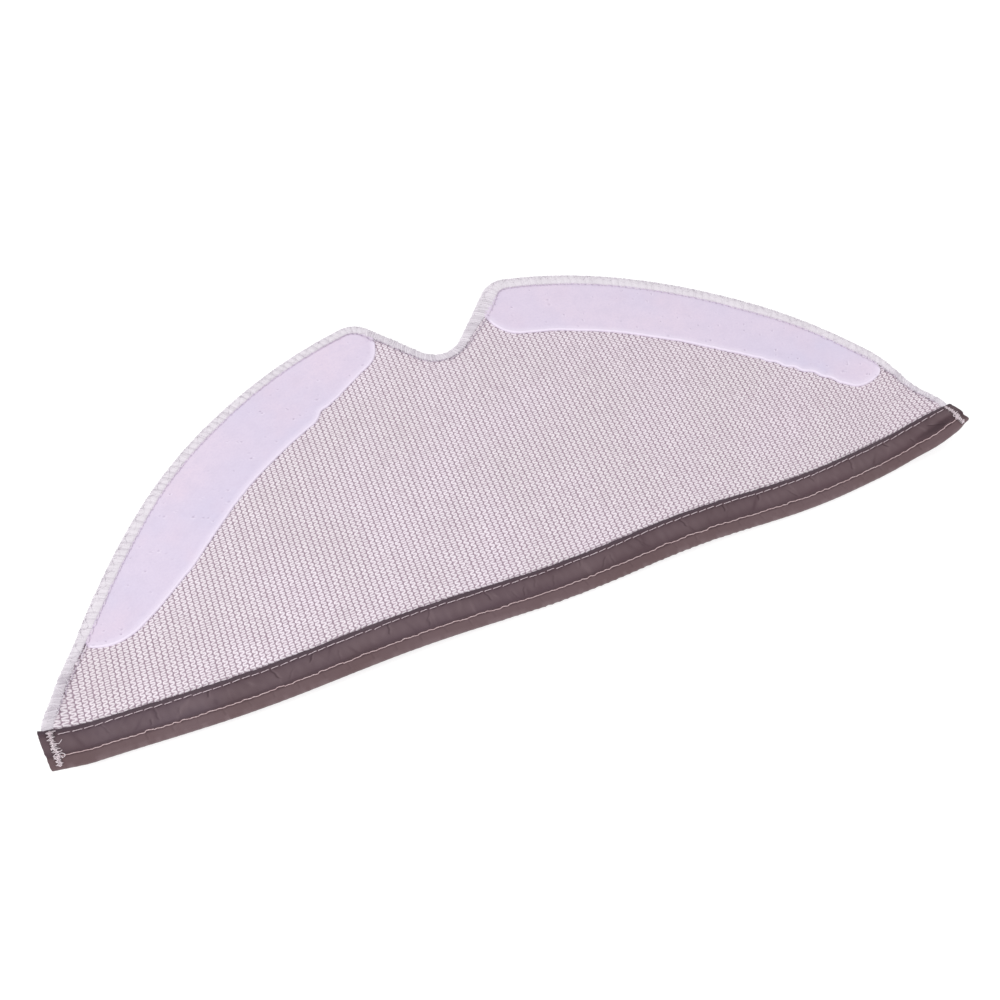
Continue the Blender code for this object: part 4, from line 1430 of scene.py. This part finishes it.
# ---- inside the binding: the cloth's hem and the stiffener ----------------------------------
def bar_piece(name, y_span, z_span, reach, node, material, wobble):
    """A flat bar along x with rounded long edges."""
    (y0, y1), (z0, z1) = y_span, z_span
    stations = np.arange(-reach, reach + 0.001, 1.0)
    radius = (z1 - z0) / 2
    centre = (z0 + z1) / 2
    turn = np.linspace(-math.pi / 2, math.pi / 2, 5)
    section = [(y0 + radius * (1 - math.cos(t)), centre + radius * math.sin(t)) for t in turn]
    section += [(y, z1) for y in np.linspace(y0 + radius, y1 - radius, 7)[1:-1]]
    section += [(y1 - radius * (1 - math.cos(t)), centre + radius * math.sin(t))
                for t in turn[::-1]]
    section += [(y, z0) for y in np.linspace(y1 - radius, y0 + radius, 7)[1:-1]]
    x = np.repeat(stations[:, None], len(section), 1)
    y, z = (np.repeat(column[None], len(stations), 0) for column in np.array(section).T)
    z = z + wobble * noise_over(x, y, 1.4, 111)
    shells = Shells()
    shells.sweep(place(x.ravel(), y.ravel(), z.ravel()).reshape(*x.shape, 3))
    yarn = np.clip(0.6 + 0.4 * noise_over(x, y, 0.9, 112), 0, 1).ravel()
    on_binding(shells.object(name, material, {"yarn": yarn}), node)


bar_piece("cloth_hem_edge", y_span=(-9.0, -0.15), z_span=(1.4, 2.0), reach=HALF - 2.0,
          node="cloth_hem", material=KNIT, wobble=0.06)
bar_piece("stiffener_strip_core", y_span=(-6.0, -1.9), z_span=(2.3, 2.85), reach=HALF - 6.0,
          node="stiffener_strip", material=PLASTIC, wobble=0.0)

# ---- floor, light, camera: in metres --------------------------------------------------------
scene = bpy.context.scene
scene.view_settings.view_transform = "Standard"


def make_floor(half_size, gap):
    """A square floor, a small gap below the lowest point."""
    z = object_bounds()[0][2] - gap
    mesh = bpy.data.meshes.new("floor")
    mesh.from_pydata([(-half_size, -half_size, z), (half_size, -half_size, z),
                      (half_size, half_size, z), (-half_size, half_size, z)],
                     [], [(0, 1, 2, 3)])
    floor = bpy.data.objects.new("floor", mesh)
    scene.collection.objects.link(floor)
    material = bpy.data.materials.new("pale_floor")
    material.use_nodes = True
    shader = material.node_tree.nodes["Principled BSDF"]
    for key, value in (("Base Color", (0.5, 0.5, 0.5, 1)), ("Emission Color", (1, 1, 1, 1)),
                       ("Emission Strength", 0.66), ("Roughness", 0.9),
                       ("Specular IOR Level", 0.1)):
        shader.inputs[key].default_value = value
    mesh.materials.append(material)
    floor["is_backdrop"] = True


def make_world(strength, tint):
    """A soft studio light that the camera sees as plain white."""
    world = bpy.data.worlds.new("studio")
    scene.world = world
    world.use_nodes = True
    nodes, links = world.node_tree.nodes, world.node_tree.links
    light = nodes["Background"]
    light.inputs["Color"].default_value = tint
    light.inputs["Strength"].default_value = strength
    seen = nodes.new("ShaderNodeBackground")
    seen.inputs["Color"].default_value = (1, 1, 1, 1)
    seen.inputs["Strength"].default_value = 1.0
    rays = nodes.new("ShaderNodeLightPath")
    choice = nodes.new("ShaderNodeMixShader")
    links.new(rays.outputs["Is Camera Ray"], choice.inputs[0])
    links.new(light.outputs[0], choice.inputs[1])
    links.new(seen.outputs[0], choice.inputs[2])
    links.new(choice.outputs[0], nodes["World Output"].inputs["Surface"])


def area_light(name, location, size, power, colour=(1, 1, 1)):
    """A square light aimed at the frame's origin."""
    light = bpy.data.lights.new(name, "AREA")
    light.shape = "SQUARE"
    light.size = size
    light.energy = power
    light.color = colour
    ob = bpy.data.objects.new(name, light)
    scene.collection.objects.link(ob)
    ob.location = location
    ob.rotation_euler = (-Vector(location)).to_track_quat("-Z", "Y").to_euler()


def make_camera(location, right, down, ahead, sensor, lens_ratio):
    """right, down and ahead are the view's directions in the frame; lens_ratio is the focal
    length over the sensor's width."""
    camera = bpy.data.cameras.new("camera")
    camera.sensor_width = sensor
    camera.lens = sensor * lens_ratio
    camera.clip_start, camera.clip_end = 0.01, 20.0
    ob = bpy.data.objects.new("camera", camera)
    scene.collection.objects.link(ob)
    turn = Matrix((Vector(right), -Vector(down), -Vector(ahead))).transposed()
    ob.matrix_world = Matrix.Translation(location) @ turn.to_4x4()
    scene.camera = ob


make_floor(half_size=6.0, gap=0.0002)
make_world(strength=0.74, tint=(1.0, 0.995, 1.0, 1))
area_light("key", location=(-0.55, -0.15, 0.75), size=0.45, power=2.5)
area_light("fill", location=(0.6, -0.5, 0.7), size=0.8, power=1.05, colour=(1.0, 0.985, 1.0))
make_camera(location=Vector((-54.003, -99.12 + LIP_Y, 266.575)) * MM,
            right=(0.93028, -0.36674, 0.00923), down=(-0.32306, -0.83088, -0.45307),
            ahead=(0.17383, 0.41849, -0.89143), sensor=36.0, lens_ratio=0.967757)
